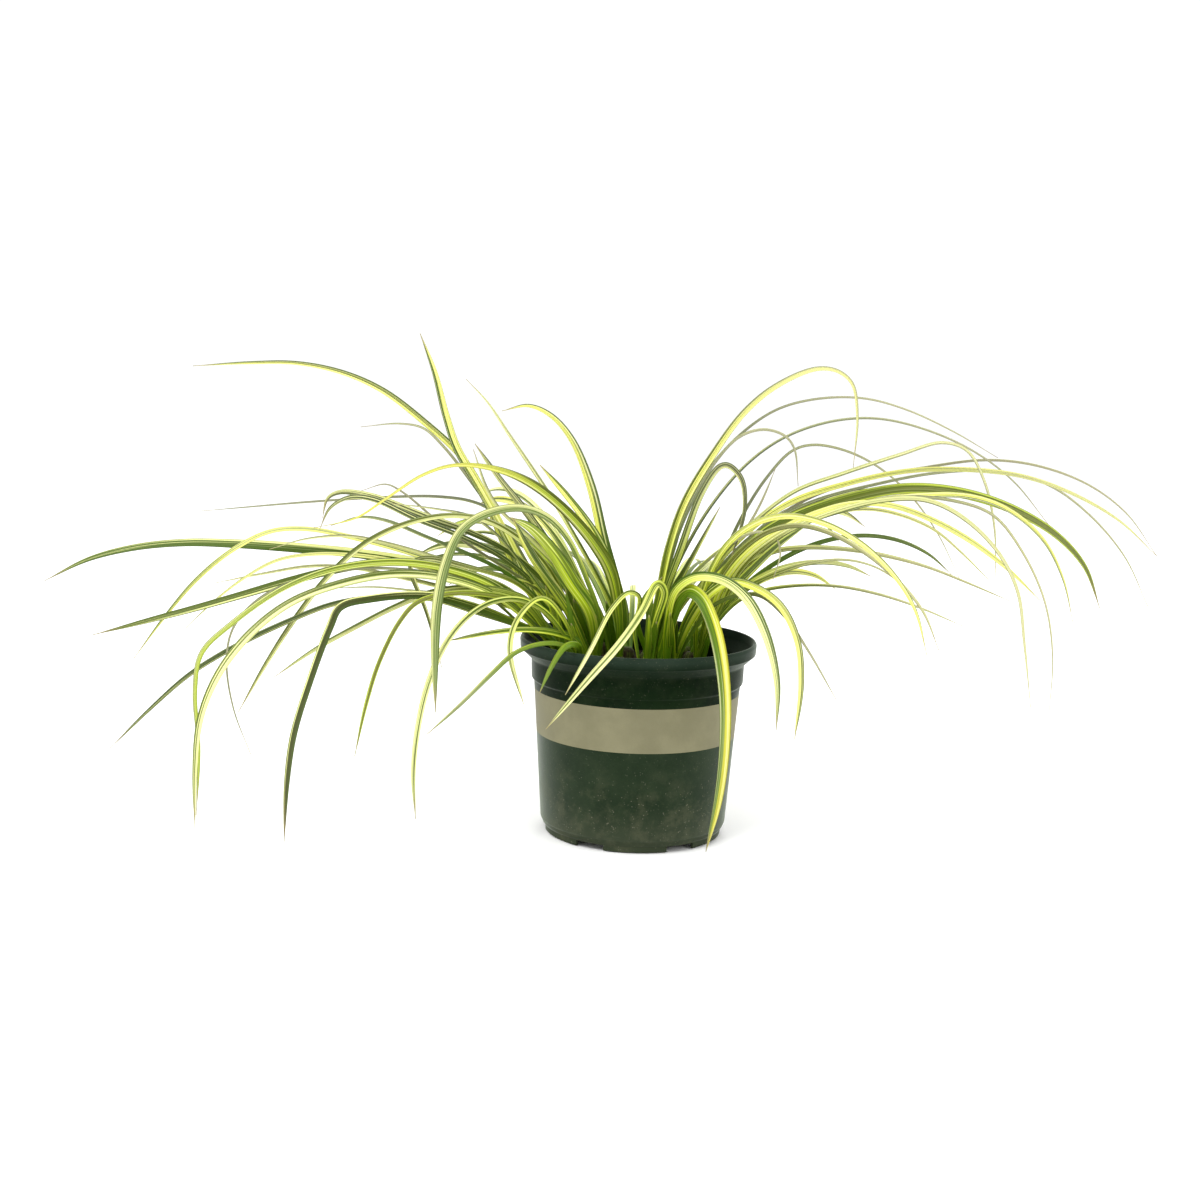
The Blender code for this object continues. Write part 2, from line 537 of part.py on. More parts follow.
def applied(obj, collection, material=None):
    """Replaces an object by the mesh that its modifiers make of it."""
    graph = bpy.context.evaluated_depsgraph_get()
    mesh = bpy.data.meshes.new_from_object(obj.evaluated_get(graph))
    name = obj.name
    bpy.data.objects.remove(obj)
    done = new_object(name, mesh, collection)
    if material:
        mesh.materials.clear()
        mesh.materials.append(material)
    return done


def cone(name, x, y, bottom, top, low_radius, high_radius, sides):
    work = bmesh.new()
    bmesh.ops.create_cone(
        work, cap_ends=True, segments=sides, radius1=low_radius, radius2=high_radius, depth=top - bottom
    )
    bmesh.ops.translate(work, verts=work.verts, vec=(x, y, (top + bottom) / 2))
    mesh = bpy.data.meshes.new(name)
    work.to_mesh(mesh)
    work.free()
    return mesh


def keep_largest_body(mesh):
    """Drops the scraps and fills the sealed hollows that a union leaves where blades cross."""
    work = bmesh.new()
    work.from_mesh(mesh)
    unseen = set(work.verts)
    bodies = []
    while unseen:
        body, edge_of_body = set(), [unseen.pop()]
        while edge_of_body:
            vert = edge_of_body.pop()
            body.add(vert)
            for edge in vert.link_edges:
                other = edge.other_vert(vert)
                if other in unseen:
                    unseen.discard(other)
                    edge_of_body.append(other)
        bodies.append(body)
    largest = max(bodies, key=len)
    spare = [vert for body in bodies if body is not largest for vert in body]
    bmesh.ops.delete(work, geom=spare, context="VERTS")
    work.to_mesh(mesh)
    work.free()


def build_fan(name, crown, leaves, parts, material):
    """One crown with its blades, joined into one solid."""
    x, y = crown[0] * MM, crown[1] * MM
    bottom = CROWN_TOP - CROWN_DEPTH
    stub = cone(name, x, y, bottom, CROWN_TOP, CROWN_RADIUS, CROWN_NECK_RADIUS, CROWN_SIDES)
    body = new_object(name, stub, parts)
    blades = bpy.data.collections.new(name + "_blades")
    bpy.context.scene.collection.children.link(blades)
    for number, leaf in enumerate(leaves):
        label = f"{name}_blade_{number}"
        new_object(label, blade_mesh(label, leaf), blades)
    union = body.modifiers.new("join blades", "BOOLEAN")
    union.operation = "UNION"
    union.operand_type = "COLLECTION"
    union.collection = blades
    union.solver = "EXACT"
    done = applied(body, parts, material)
    keep_largest_body(done.data)
    for blade in list(blades.objects):
        bpy.data.objects.remove(blade)
    bpy.data.collections.remove(blades)
    return done


def turned(name, profile, sides, collection):
    """A solid turned from (radius, height) points in millimetres, from the axis back to the axis."""
    mesh = bpy.data.meshes.new(name)
    points = [(r * MM, 0.0, z * MM) for r, z in profile]
    mesh.from_pydata(points, [(i, i + 1) for i in range(len(points) - 1)], [])
    obj = new_object(name, mesh, collection)
    screw = obj.modifiers.new("turn", "SCREW")
    screw.steps = screw.render_steps = sides
    screw.use_merge_vertices = True
    screw.merge_threshold = 0.00005
    return obj


def cut(obj, cutters, name):
    """Takes every object of the cutters' collection away from obj."""
    modifier = obj.modifiers.new(name, "BOOLEAN")
    modifier.operation = "DIFFERENCE"
    modifier.operand_type = "COLLECTION"
    modifier.collection = cutters
    modifier.solver = "EXACT"


def cutter_collection(name):
    collection = bpy.data.collections.new(name)
    bpy.context.scene.collection.children.link(collection)
    collection.hide_render = True
    return collection


def add_cutter(name, mesh, collection):
    obj = new_object(name, mesh, collection)
    obj.hide_render = True
    obj.display_type = "WIRE"
    return obj


def wall_radius(height):
    """The radius of the pot's outer wall at a height, both in millimetres."""
    return np.interp(height, [z for r, z in POT_WALL[::-1]], [r for r, z in POT_WALL[::-1]])


def block(name, size):
    work = bmesh.new()
    bmesh.ops.create_cube(work, size=1.0)
    bmesh.ops.scale(work, verts=work.verts, vec=size)
    mesh = bpy.data.meshes.new(name)
    work.to_mesh(mesh)
    work.free()
    return mesh


def add_drain(name, x, y, cutters):
    """A round hole through the raised floor."""
    top = 2 * (UNDERSIDE + FLOOR_THICKNESS)
    hole = cone(name, x, y, -FLOOR_THICKNESS, top, DRAIN_RADIUS, DRAIN_RADIUS, DRAIN_SIDES)
    add_cutter(name, hole, cutters)


def build_pot(parts):
    """The turned pot, with its notches and drain holes cut, and its band as a second colour."""
    pot = turned("nursery_pot", POT_INSIDE + POT_LIP + POT_WALL + POT_FOOT, POT_SIDES, parts)
    cutters = cutter_collection("pot_cutters")
    for k in range(NOTCH_COUNT):
        angle = NOTCH_TURN + k * 2 * math.pi / NOTCH_COUNT
        name = f"notch_{k}"
        notch = add_cutter(name, block(name, NOTCH_SIZE), cutters)
        notch.location = (NOTCH_RING * math.sin(angle), -NOTCH_RING * math.cos(angle), 0.0)
        notch.rotation_euler.z = angle
        add_drain(f"drain_{k}", DRAIN_RING * math.sin(angle), -DRAIN_RING * math.cos(angle), cutters)
    add_drain("drain_middle", 0.0, 0.0, cutters)
    cut(pot, cutters, "notches and drains")
    bpy.context.view_layer.update()
    done = applied(pot, parts)
    mesh = done.data
    mesh.materials.clear()
    mesh.materials.append(principled("pot green", (0.030, 0.058, 0.036), 0.55))
    mesh.materials.append(principled("pot band", (0.36, 0.32, 0.22), 0.6))
    for face in mesh.polygons:
        reach = math.hypot(face.center.x, face.center.y) / MM
        height = face.center.z / MM
        outer = reach > wall_radius(height) - WALL_THICKNESS / 2
        face.material_index = int(outer and BAND[0] < height < BAND[1])
    mesh.shade_smooth()
    mesh.set_sharp_from_angle(angle=math.radians(35))
    return done


def build_soil(parts):
    """The soil: flat rings pushed up into a low, lumpy rise, with a hole for each crown."""
    top_radius, top = SOIL_SIDE[0]
    rings = [(top_radius * k / SOIL_RINGS, top) for k in range(SOIL_RINGS)]
    soil = turned("potting_soil", rings + list(SOIL_SIDE), SOIL_SIDES, parts)
    soil = applied(soil, parts, principled("soil", (0.035, 0.025, 0.018), 0.95))
    for vert in soil.data.vertices:
        if vert.co.z < (top - 0.1) * MM:
            continue
        reach = math.hypot(vert.co.x, vert.co.y) / (top_radius * MM)
        lump = math.sin(SOIL_LUMPS[0] * vert.co.x + 1.0) * math.cos(SOIL_LUMPS[1] * vert.co.y + 0.5)
        vert.co.z += SOIL_RISE * (1 - reach ** 2) + SOIL_LUMP * lump * (1 - reach)
    cutters = cutter_collection("soil_cutters")
    for name, crown in crowns().items():
        x, y = crown[0] * MM, crown[1] * MM
        bottom = CROWN_TOP - CROWN_DEPTH - SEAT_GAP
        hole = cone(f"hole_{name}", x, y, bottom, POT_TOP, HOLE_RADIUS, HOLE_RADIUS, CROWN_SIDES)
        add_cutter(hole.name, hole, cutters)
    cut(soil, cutters, "crown holes")
    bpy.context.view_layer.update()
    return applied(soil, parts)


def crowns():
    """Every fan's crown, by the fan's name."""
    return {name: fan[0] for name, fan in {**FANS, **BACK_FANS}.items()}


def main():
    for obj in list(bpy.data.objects):
        bpy.data.objects.remove(obj, do_unlink=True)
    parts = bpy.data.collections.new("potted_sweet_flag")
    bpy.context.scene.collection.children.link(parts)
    axis = bpy.data.objects.new("pot_axis", None)
    axis.location = (AXIS_X, AXIS_Y, 0.0)
    parts.objects.link(axis)
    built = [build_pot(parts), build_soil(parts)]
    leaves = plan_leaves()
    settle(leaves)
    for name, crown in crowns().items():
        green = 0.28 + 0.06 * math.sin(7.0 * len(built))
        material = principled(name, (0.20 + 0.10 * math.cos(5.0 * len(built)), green, 0.035), 0.45)
        own = [leaf for leaf in leaves if leaf["fan"] == name]
        built.append(build_fan(name, crown, own, parts, material))
    for obj in built:
        obj.parent = axis


main()
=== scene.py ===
# The look of the potted sweet flag: striped leaves, pot, soil, light and camera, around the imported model.
# Everything is in metres unless a name or comment says otherwise; leaf tables are in millimetres.
import json
import math

import bmesh
import bpy
import numpy as np
from mathutils import Matrix, Vector, noise

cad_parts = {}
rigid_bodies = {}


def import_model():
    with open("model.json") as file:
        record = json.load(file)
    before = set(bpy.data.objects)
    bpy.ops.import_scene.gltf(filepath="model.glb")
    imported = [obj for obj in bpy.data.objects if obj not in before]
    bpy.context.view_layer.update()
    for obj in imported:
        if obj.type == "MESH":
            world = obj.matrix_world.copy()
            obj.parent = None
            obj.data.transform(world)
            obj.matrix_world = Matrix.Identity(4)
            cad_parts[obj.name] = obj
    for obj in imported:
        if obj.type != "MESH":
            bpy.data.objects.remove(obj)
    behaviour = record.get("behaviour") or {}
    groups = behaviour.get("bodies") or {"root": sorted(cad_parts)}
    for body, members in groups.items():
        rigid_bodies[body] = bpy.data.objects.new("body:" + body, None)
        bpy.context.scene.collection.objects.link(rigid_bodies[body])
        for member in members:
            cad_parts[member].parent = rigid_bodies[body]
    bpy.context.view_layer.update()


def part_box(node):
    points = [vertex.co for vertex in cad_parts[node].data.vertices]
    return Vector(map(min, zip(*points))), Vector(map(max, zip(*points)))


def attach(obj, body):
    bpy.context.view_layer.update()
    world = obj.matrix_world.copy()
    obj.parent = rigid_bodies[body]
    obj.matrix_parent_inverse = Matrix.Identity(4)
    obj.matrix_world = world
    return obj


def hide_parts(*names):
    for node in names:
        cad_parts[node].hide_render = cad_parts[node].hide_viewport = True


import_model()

MM = 0.001
POT_LOW, POT_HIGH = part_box("nursery_pot")
AXIS_X = (POT_LOW[0] + POT_HIGH[0]) / 2
AXIS_Y = (POT_LOW[1] + POT_HIGH[1]) / 2

# Pot and soil: the same sizes as the model's, with a rounder rim.
POT_HEIGHT = 0.137
RIM_RADIUS = 0.0825
RIM_SKIRT = 0.0080
FLARE_HEIGHT = 0.0065
COLLAR_RADIUS = 0.0743
COLLAR_BOTTOM = 0.1075
WALL_TOP_RADIUS = 0.0722
WALL_FOOT_RADIUS = 0.0647
WALL_FOOT_HEIGHT = 0.0030
WALL_THICKNESS = 0.0014
BAND_BOTTOM = 0.0705
BAND_TOP = 0.1010
FOOT_RADIUS = 0.0624
FOOT_WIDTH = 0.0030
FLOOR_RAISE = 0.0042
FLOOR_THICKNESS = 0.0016
FOOT_BEND = 0.0090
CORNER_RADIUS = 0.0012
FOOT_CORNER_RADIUS = 0.0008
POT_SIDES = 176
NOTCH_COUNT = 6
NOTCH_SIZE = (0.0210, 0.0120, 0.0080)
NOTCH_TURN = math.radians(-27.5)
DRAIN_RADIUS = 0.0050
DRAIN_RING = 0.0420
DRAIN_SIDES = 32
DRAIN_CUT = (-0.001, 0.012)
SEAT_GAP = 0.0003
SOIL_TOP = 0.1150
SOIL_SECTORS = 132
SOIL_RINGS = 46
SOIL_MOUND = 0.0010
SOIL_LUMPS = 0.0009
SOIL_CRUMBS = 0.0005
BARK_COUNT = 560
BARK_SIZE = (0.0018, 0.0075)
BARK_EDGE = 0.93

# Leaves, in millimetres.
CROWN_TOP = 123.5
CROWN_DEPTH = 17.0
CROWN_RADIUS = 7.0
CROWN_NECK_RADIUS = 5.2
CROWN_RINGS = 9
CROWN_SIDES = 24
ROOT_HEIGHT = 117.0
ROOT_SPREAD = 2.6
EYE_DISTANCE = 1200.0
EYE_HEIGHT = 346.0
FACE_TURN = math.radians(30.0)
WIDTH_FACTOR = 1.12
ROOT_SHARE = 0.46
FULL_WIDTH_AT = 0.22
OUTER_SPAN = (0.22, 0.80)
TIP_POWER = 9
PLAIN_WIDTHS = (1.19, 0.90)
BLADE_THICKNESS = 1.3
ROOT_THICKNESS = 2.2
TIP_THICKNESS = 0.64
TIP_WIDTH = 0.9
STEP_LENGTH = 36.0
FEWEST_STEPS = 6
MOST_STEPS = 11
BEND_WEIGHT = 45.0
CLEARANCE = 1.1
FLOOR_CLEARANCE = 12.0
SETTLE_ROUNDS = 400
SETTLE_RATE = 1.2
SETTLE_EVENING = 0.12
LEAST_END_ON = 0.35
SEED = 7

# How each kind of leaf is coloured: its green, its yellow, the share of yellow, how far the yellow keeps to
# one edge (its sign says which), and how far it keeps to the middle, or with a minus to both edges.
GREENS = {
    "deep": (0.12, 0.21, 0.01), "leaf": (0.23, 0.33, 0.01), "bright": (0.37, 0.48, 0.01),
    "cool": (0.33, 0.42, 0.14), "olive": (0.29, 0.33, 0.01), "grey": (0.41, 0.42, 0.33),
    "moss": (0.33, 0.36, 0.00),
}
YELLOWS = {
    "cream": (0.89, 0.90, 0.60), "lemon": (0.88, 0.88, 0.44), "lime": (0.68, 0.74, 0.22),
    "gold": (0.77, 0.75, 0.19), "straw": (0.78, 0.79, 0.52),
}
LOOKS = {
    "a": ("olive", "lemon", 0.38, 0.8, 0.0), "b": ("leaf", "lemon", 0.52, -0.8, 0.0),
    "c": ("leaf", "lemon", 0.42, 0.6, -0.1), "d": ("olive", "lime", 0.34, 0.1, 0.7),
    "e": ("bright", "lemon", 0.46, 0.7, 0.0), "f": ("deep", "lemon", 0.50, 0.9, 0.0),
    "g": ("cool", "straw", 0.27, -0.6, -0.2), "h": ("deep", "straw", 0.35, 0.6, 0.2),
    "k": ("leaf", "cream", 0.18, 0.4, 0.1), "l": ("deep", "lemon", 0.42, 0.9, 0.0),
    "m": ("leaf", "cream", 0.27, -0.6, 0.2), "n": ("grey", "straw", 0.24, 0.3, 0.0),
    "o": ("leaf", "lime", 0.40, 0.0, -0.8), "p": ("olive", "cream", 0.48, 0.6, -0.2),
    "q": ("cool", "cream", 0.52, 0.0, -0.9), "r": ("olive", "lemon", 0.48, -0.8, 0.2),
    "s": ("leaf", "cream", 0.48, -0.2, -0.3), "t": ("deep", "straw", 0.34, -0.6, 0.0),
    "u": ("leaf", "lime", 0.44, 0.3, 0.4), "v": ("deep", "cream", 0.23, -0.9, 0.0),
    "w": ("bright", "gold", 0.42, 1.0, 0.0), "x": ("olive", "straw", 0.40, 0.7, 0.0),
    "y": ("leaf", "lemon", 0.46, 0.3, -0.2), "z": ("leaf", "cream", 0.44, -0.8, 0.0),
    "i": ("moss", "lime", 0.28, 0.2, -0.8), "j": ("olive", "lemon", 0.62, 0.3, -0.3),
}
# One look turns lemon in its outer half, and its blade is slimmer there.
OUTER_LEMON = "d"
OUTER_SLIM = 0.52
SLIM_SPAN = (0.48, 0.66)
# How much the outer half of a thin and of a broader blade has faded, on each side of the plant.
THIN_BLADE = 3.2
FADED = {"left": (0.22, 0.05), "right": (0.42, 0.07)}
# The looks that young leaves and the leaves at the back take in turn.
YOUNG_LOOKS = "kkuokh"
BACK_LOOKS = "ksyumgx"

# Each fan: its crown (x, y from the pot's axis) and its leaves. A leaf is (look, width, depth of its tip,
# points from the crown outward). A point is x,z as drawn in the upright plane through the pot's axis,
# seen from the eye; the leaf is then pushed along the line of sight to its depth. A third number is a
# point's own depth. A width is one number, or a pair: the lower blade's and the outer blade's.
FANS = {
    "leaf_fan_left_1": ((-38, 33), [
        ("a", (6.2, 3.2), 95, "-75,162 -97,203 -120,251 -150,280 -190,307 -238,319 -312,315"),
        ("b", (7.8, 5.6), 55, "-69,160 -93,203 -112,236 -131,268 -146,317 -156,342"),
        ("n", (3.2, 2.0), 125, "-79,172 -108,227 -127,251 -150,276 -165,280 -196,277"),
        ("n", (2.6, 1.8), 155, "-74,178 -106,223 -132,230 -163,230 -222,225 -308,215"),
    ]),
    "leaf_fan_left_2": ((-14, -2), [
        ("p", (4.0, 2.4), 45, "-17,152 -40,195 -65,235 -88,267 -110,298 -124,312"),
        ("d", (9.6, 4.2), -34, "-14,150 -22,185 -36,205 -67,235 -98,250 -135,252 -165,238 -194,216 "
            "-228,206"),
        ("e", (8.6, 5.4), -2, "-13,156 -24,192 -41,220 -72,255"),
        ("f", (8.4, 5.0), 22, "-12,155 -22,186 -37,243 -57,282 -79,295 -99,291"),
    ]),
    "leaf_fan_left_3": ((-30, -12), [
        ("g", (4.0, 7.2), -133, "-28,153 -38,177 -57,212 -79,224 -105,221 -125,208 -139,170 -142,123 "
            "-141,78"),
        ("h", 6.0, 4, "-35,153 -76,216 -99,244 -117,268"),
        ("x", 3.0, 18, "-38,160 -78,205 -103,228 -118,264"),
        ("u", (12.0, 9.0), -28, "-31,149 -47,174 -59,192 -77,211 -92,218"),
        ("l", (7.6, 6.0), -45, "-53,161 -61,171 -79,197 -90,218"),
        ("h", (2.4, 1.8), 12, "-46,141 -77,177 -90,195 -117,217 -152,223 -176,225"),
    ]),
    "leaf_fan_left_4": ((-42, 9), [
        ("x", (4.4, 4.6), -56, "-50,156 -70,190 -100,212 -130,218 -180,204 -218,172 -252,124 -281,73"),
        ("t", (3.4, 5.6), 24, "-54,158 -95,196 -146,215 -195,231 -212,231 -219,226 -222,213"),
        ("h", (3.2, 5.2), -6, "-57,154 -100,192 -150,212 -197,229 -216,221 -224,205"),
        ("n", (2.6, 2.0), 38, "-54,152 -90,180 -128,203 -165,232 -177,238 -195,233"),
        ("k", (2.8, 2.8), -16, "-58,148 -95,180 -136,197 -190,215 -216,208"),
        ("x", (3.0, 3.6), -30, "-80,168 -111,180 -138,186 -153,187 -160,182 -157,170 -150,154 -137,110"),
        ("x", (2.4, 2.2), -10, "-52,154 -72,171 -95,177 -132,186 -164,194 -199,201 -239,197 -259,190"),
    ]),
    "leaf_fan_left_5": ((-50, 23), [
        ("y", 4.0, 10, "-85,163 -135,183 -200,200 -246,205 -273,196 -312,165 -355,109"),
        ("m", (7.4, 6.2), 30, "-62,141 -85,156 -130,178 -177,187 -250,192 -326,192 -380,181 -418,162"),
        ("k", 6.0, -12, "-90,158 -153,183 -189,182 -238,170 -300,150 -384,125"),
        ("y", 3.0, -2, "-95,160 -150,180 -200,188 -252,183 -292,157 -318,132"),
        ("p", 3.0, 44, "-62,142 -90,155 -150,170 -217,180 -262,173 -297,165"),
        ("h", (2.2, 1.6), -30, "-66,146 -95,161 -139,163 -183,166 -215,164"),
    ]),
    "leaf_fan_left_6": ((-47, -25), [
        ("p", 5.5, -125, "-95,160 -160,176 -232,159 -265,137 -292,105 -307,71 -312,29 -312,-15"),
        ("u", 4.5, -98, "-95,166 -160,184 -231,172 -278,142 -304,119 -311,100 -309,50 -311,-3"),
        ("h", (4.4, 3.6), -62, "-62,134 -77,140 -92,143 -130,156 -162,160 -210,154 -251,137 -309,104 "
            "-350,67 -373,43"),
        ("v", (5.4, 5.8), -135, "-60,133 -97,147 -124,157 -144,161 -177,159 -199,155 -210,150 -216,137 "
            "-233,88 -244,45 -248,-21"),
        ("x", (4.2, 4.2), -78, "-77,159 -90,165 -117,168 -150,162 -191,141 -221,124 -256,99"),
        ("i", (3.6, 3.8), -112, "-77,155 -92,161 -117,164 -142,161 -158,154 -170,137 -185,102 -198,44"),
        ("n", (2.4, 1.8), -70, "-120,170 -200,178 -262,158 -287,127 -285,79 -272,43"),
    ]),
    "leaf_fan_left_7": ((-38, -40), [
        ("s", (3.6, 4.4), -84, "-60,148 -77,159 -90,161 -110,155 -127,139 -139,119 -150,85 -156,38 -154,0"),
        ("c", 4.5, -62, "-43,132 -57,138 -87,139 -132,130"),
        ("p", (2.4, 4.4), -96, "-48,140,-50 -58,154 -64,161 -70,162 -79,155 -87,142 -90,128 -86,112 "
            "-79,86"),
        ("g", 3.0, -118, "-50,128,-64 -67,130,-80 -87,122,-92 -115,93,-106 -147,62"),
        ("g", 4.0, -98, "-42,129,-66 -50,129,-76 -61,112,-90 -68,95"),
    ]),
    "leaf_fan_right_1": ((6, 15), [
        ("r", (6.8, 2.8), 18, "15,176 22,214 35,245 71,300 95,318 121,327 138,319 144,295 143,260"),
        ("n", (2.8, 1.8), 112, "20,190 35,240 68,283 99,302 152,307 205,289 241,270"),
        ("n", (2.8, 1.8), 82, "24,185 50,235 88,275 144,294 199,285 246,260 278,226"),
        ("n", (2.8, 2.2), 42, "22,200 45,255 65,279 84,284 100,276 106,246"),
        ("n", (2.8, 2.0), 62, "30,160 60,200 77,225 90,258"),
    ]),
    "leaf_fan_right_2": ((12, -5), [
        ("t", (5.2, 4.2), -14, "15,160 24,190 34,220 45,250 55,259 64,254 70,240 69,222 61,190"),
        ("t", (6.4, 3.6), -2, "14,150 27,178 39,202 53,230"),
        ("o", (7.2, 5.0), -6, "25,135 40,145 65,174 94,205 116,222"),
        ("k", (4.4, 3.6), -10, "-1,147 3,164 9,173 15,180"),
        ("n", (3.2, 2.0), -22, "24,165 50,196 76,213 91,211 96,199 91,178"),
    ]),
    "leaf_fan_right_3": ((26, 7), [
        ("i", (8.8, 6.4), 14, "38,150 60,180 85,213 140,238 181,247 228,243 276,224 304,199 318,168"),
        ("f", (5.6, 3.8), -6, "36,158 80,205 140,232 200,243 241,239 278,212 298,169 300,158"),
        ("y", (4.2, 3.0), 58, "40,170 90,228 162,255 202,261 268,256 326,230 354,206"),
        ("n", (3.0, 1.9), 86, "40,166 90,222 162,250 235,261 282,250 329,209 351,170"),
        ("n", (2.6, 1.8), 132, "50,180 110,236 193,262 252,268 307,252 335,231 354,206"),
        ("x", (3.2, 2.3), 34, "45,180 100,240 161,264 200,279 220,274 239,236 245,180"),
    ]),
    "leaf_fan_right_4": ((38, 24), [
        ("x", (4.0, 2.8), 32, "60,175 88,199 133,204 191,195 257,171"),
        ("x", (3.2, 2.2), 62, "66,169 92,184 131,196 159,193 185,178"),
        ("x", (3.2, 2.3), 92, "70,166 120,178 174,171 224,153"),
        ("n", (2.6, 1.7), 112, "55,190 80,245 106,273 142,270 175,250 201,220 220,186"),
        ("y", (3.4, 2.3), 48, "70,185 115,222 157,232 201,219 230,195 244,182"),
    ]),
    "leaf_fan_right_5": ((40, -12), [
        ("j", (5.4, 4.4), -34, "66,190 120,228 162,236 212,220 255,192 277,172"),
        ("x", (3.8, 2.7), -56, "75,195 140,232 196,239 234,217 258,185 268,140 275,97"),
        ("n", (2.8, 1.8), -20, "80,200 160,238 210,240 241,230 275,183 287,140 288,90"),
        ("r", (4.8, 3.6), -76, "42,165 60,205 86,223 114,224 151,208 185,174 197,146 201,131"),
        ("x", (4.0, 2.9), -58, "52,175 80,210 110,219 149,205 193,167 209,135"),
    ]),
    "leaf_fan_right_6": ((22, -30), [
        ("w", (9.6, 8.2), -112, "24,158,-38 33,170,-46 43,165,-60 52,146,-79 60,112,-92 63,71,-99 "
            "61,29,-104 53,-16"),
        ("z", (6.6, 6.2), -90, "22,166,-38 36,180,-48 58,179,-60 75,166,-70 91,136,-79 99,100,-85 99,74"),
        ("r", 5.5, -62, "42,162,-34 62,178 75,176 91,169 106,150 114,122 114,93 112,68"),
        ("n", 2.5, -50, "50,160,-32 80,170 100,156 111,143 125,121 140,97"),
    ]),
    "leaf_fan_right_7": ((4, -45), [
        ("q", (4.6, 5.4), -110, "14,156,-48 17,170,-53 12,175,-61 6,164,-71 -4,144,-87 -29,112,-101 "
            "-63,69"),
        ("p", (3.2, 3.8), -100, "-3,148,-46 0,160,-52 -1,166,-58 -8,168,-66 -20,155,-78 -38,116,-94 "
            "-50,94"),
    ]),
}

# Fans whose leaves grow towards the back: the crown, how many leaves, and the ranges of their bearings
# (degrees from +X towards +Y), of their lengths, and of their lean from upright where they start.
BACK_FANS = {
    "leaf_fan_back_1": ((-28, 50), 7, (116, 165), (150, 270), (28, 44)),
    "leaf_fan_back_2": ((-8, 34), 5, (88, 112), (110, 190), (50, 56)),
    "leaf_fan_back_3": ((34, 46), 7, (14, 60), (150, 280), (26, 42)),
    "leaf_fan_back_4": ((14, 50), 5, (64, 90), (110, 190), (43, 49)),
}
BACK_DROOP = (95.0, 138.0)
BACK_WIDTH = (3.6, 6.8)

# Young leaves: short, nearly upright ones in each fan that isn't at the back.
YOUNG_COUNT = 2
YOUNG_LENGTH = (34, 60)
YOUNG_LEAN = (3.0, 14.0)
YOUNG_DROOP = (12.0, 32.0)
YOUNG_WIDTH = (3.6, 5.6)

# The fine blade, in millimetres: rings along it, its section, its fold and its twist.
RING_STEP = 5.5
FEWEST_RINGS = 20
MOST_RINGS = 80
FINE_BEND_WEIGHT = 40.0
TOP_POINTS = (-1.0, -0.7, -0.36, 0.0, 0.36, 0.7, 1.0)
UNDER_POINTS = (0.72, 0.36, 0.0, -0.36, -0.72)
FINE_THICKNESS = 0.56
FINE_ROOT_THICKNESS = 1.7
FINE_TIP_THICKNESS = 0.22
FINE_TIP_WIDTH = 0.50
MIDRIB_HEIGHT = 0.14
FOLD = (0.10, 0.34)
TWIST = (math.radians(5.0), math.radians(13.0))
TWIST_WAVES = (0.5, 1.2)
EDGE_WAVES = 3.1
EDGE_WAVE = 0.03
ACROSS_ROUNDS = 6
LEAF_VALUES = ("across", "along", "grown", "seed", "share", "side", "middle", "outer", "faded")
LEAF_COLORS = ("green", "yellow")

# Tints that shade the leaf stripes, and the colours of the leaf bases, as linear values.
ROOT_LIME = (0.44, 0.56, 0.02)
ROOT_LEAF = (0.155, 0.26, 0.006)
# The painted shade at the leaf bases.
ROOT_PAINTED_SHADE = (0.050, 0.125, 0.006)
ROOT_FILTER = (0.92, 0.97, 0.17)
OCHRE = (0.62, 0.58, 0.09)
EDGE_SHADE = (0.045, 0.095, 0.012)
LIGHT_STRAND = (0.88, 0.88, 0.46)
DARK_STRAND = (0.045, 0.085, 0.007)
LIGHT_VEIN = (0.84, 0.84, 0.40)
DARK_VEIN = (0.04, 0.085, 0.008)
FADED_STRAW = (0.64, 0.60, 0.38)
EDGE_BROWN = (0.16, 0.11, 0.03)
BLOTCH_BROWN = (0.42, 0.30, 0.10)
DRY_BROWN = (0.30, 0.23, 0.12)
FIBRE_GREENS = ((0.018, 0.022, 0.006), (0.075, 0.095, 0.018))
FIBRE_BROWN = (0.030, 0.020, 0.010)

# The pot's plastic and band: the dark and light of their mottling, and what lies on top, with painted shade
# above the band and a painted highlight on the rim.
# The upper greens hold painted shade: the plastic above the band is darkened as if in the leaves' shadow.
UPPER_GREENS_IN_PAINTED_SHADE = ((0.0008, 0.0060, 0.0010), (0.0050, 0.0135, 0.0035))
LOWER_GREENS = ((0.0095, 0.0195, 0.0080), (0.0170, 0.0290, 0.0130))
# Painted shade over the lip and the flare under it.
LIP_IN_PAINTED_SHADE = (0.006, 0.014, 0.0065)
# A painted highlight along the upper edge of the rim.
RIM_PAINTED_HIGHLIGHT = (0.020, 0.034, 0.023)
DUST = (0.105, 0.105, 0.062)
SPECKLE = (0.21, 0.20, 0.145)
FOOT_DUST = (0.060, 0.068, 0.042)
SCUFF = (0.16, 0.18, 0.14)
GRAIN_LIGHT = (0.08, 0.11, 0.06)
SHEEN_TINT = (0.90, 1.0, 0.86, 1.0)
COLLAR_SHEEN = (0.45, 0.26)
WALL_SHEEN = (0.42, 0.40)
BAND_INKS = ((0.172, 0.162, 0.093), (0.208, 0.196, 0.115))
BAND_WORN = (0.10, 0.12, 0.08)
BAND_GRAIN = (0.12, 0.11, 0.08)
MIX_BROWNS = ((0.005, 0.004, 0.003), (0.026, 0.019, 0.013))
BARK_BROWNS = ((0.013, 0.008, 0.005), (0.085, 0.052, 0.030))
GRAIN_BROWN = (0.055, 0.038, 0.024)

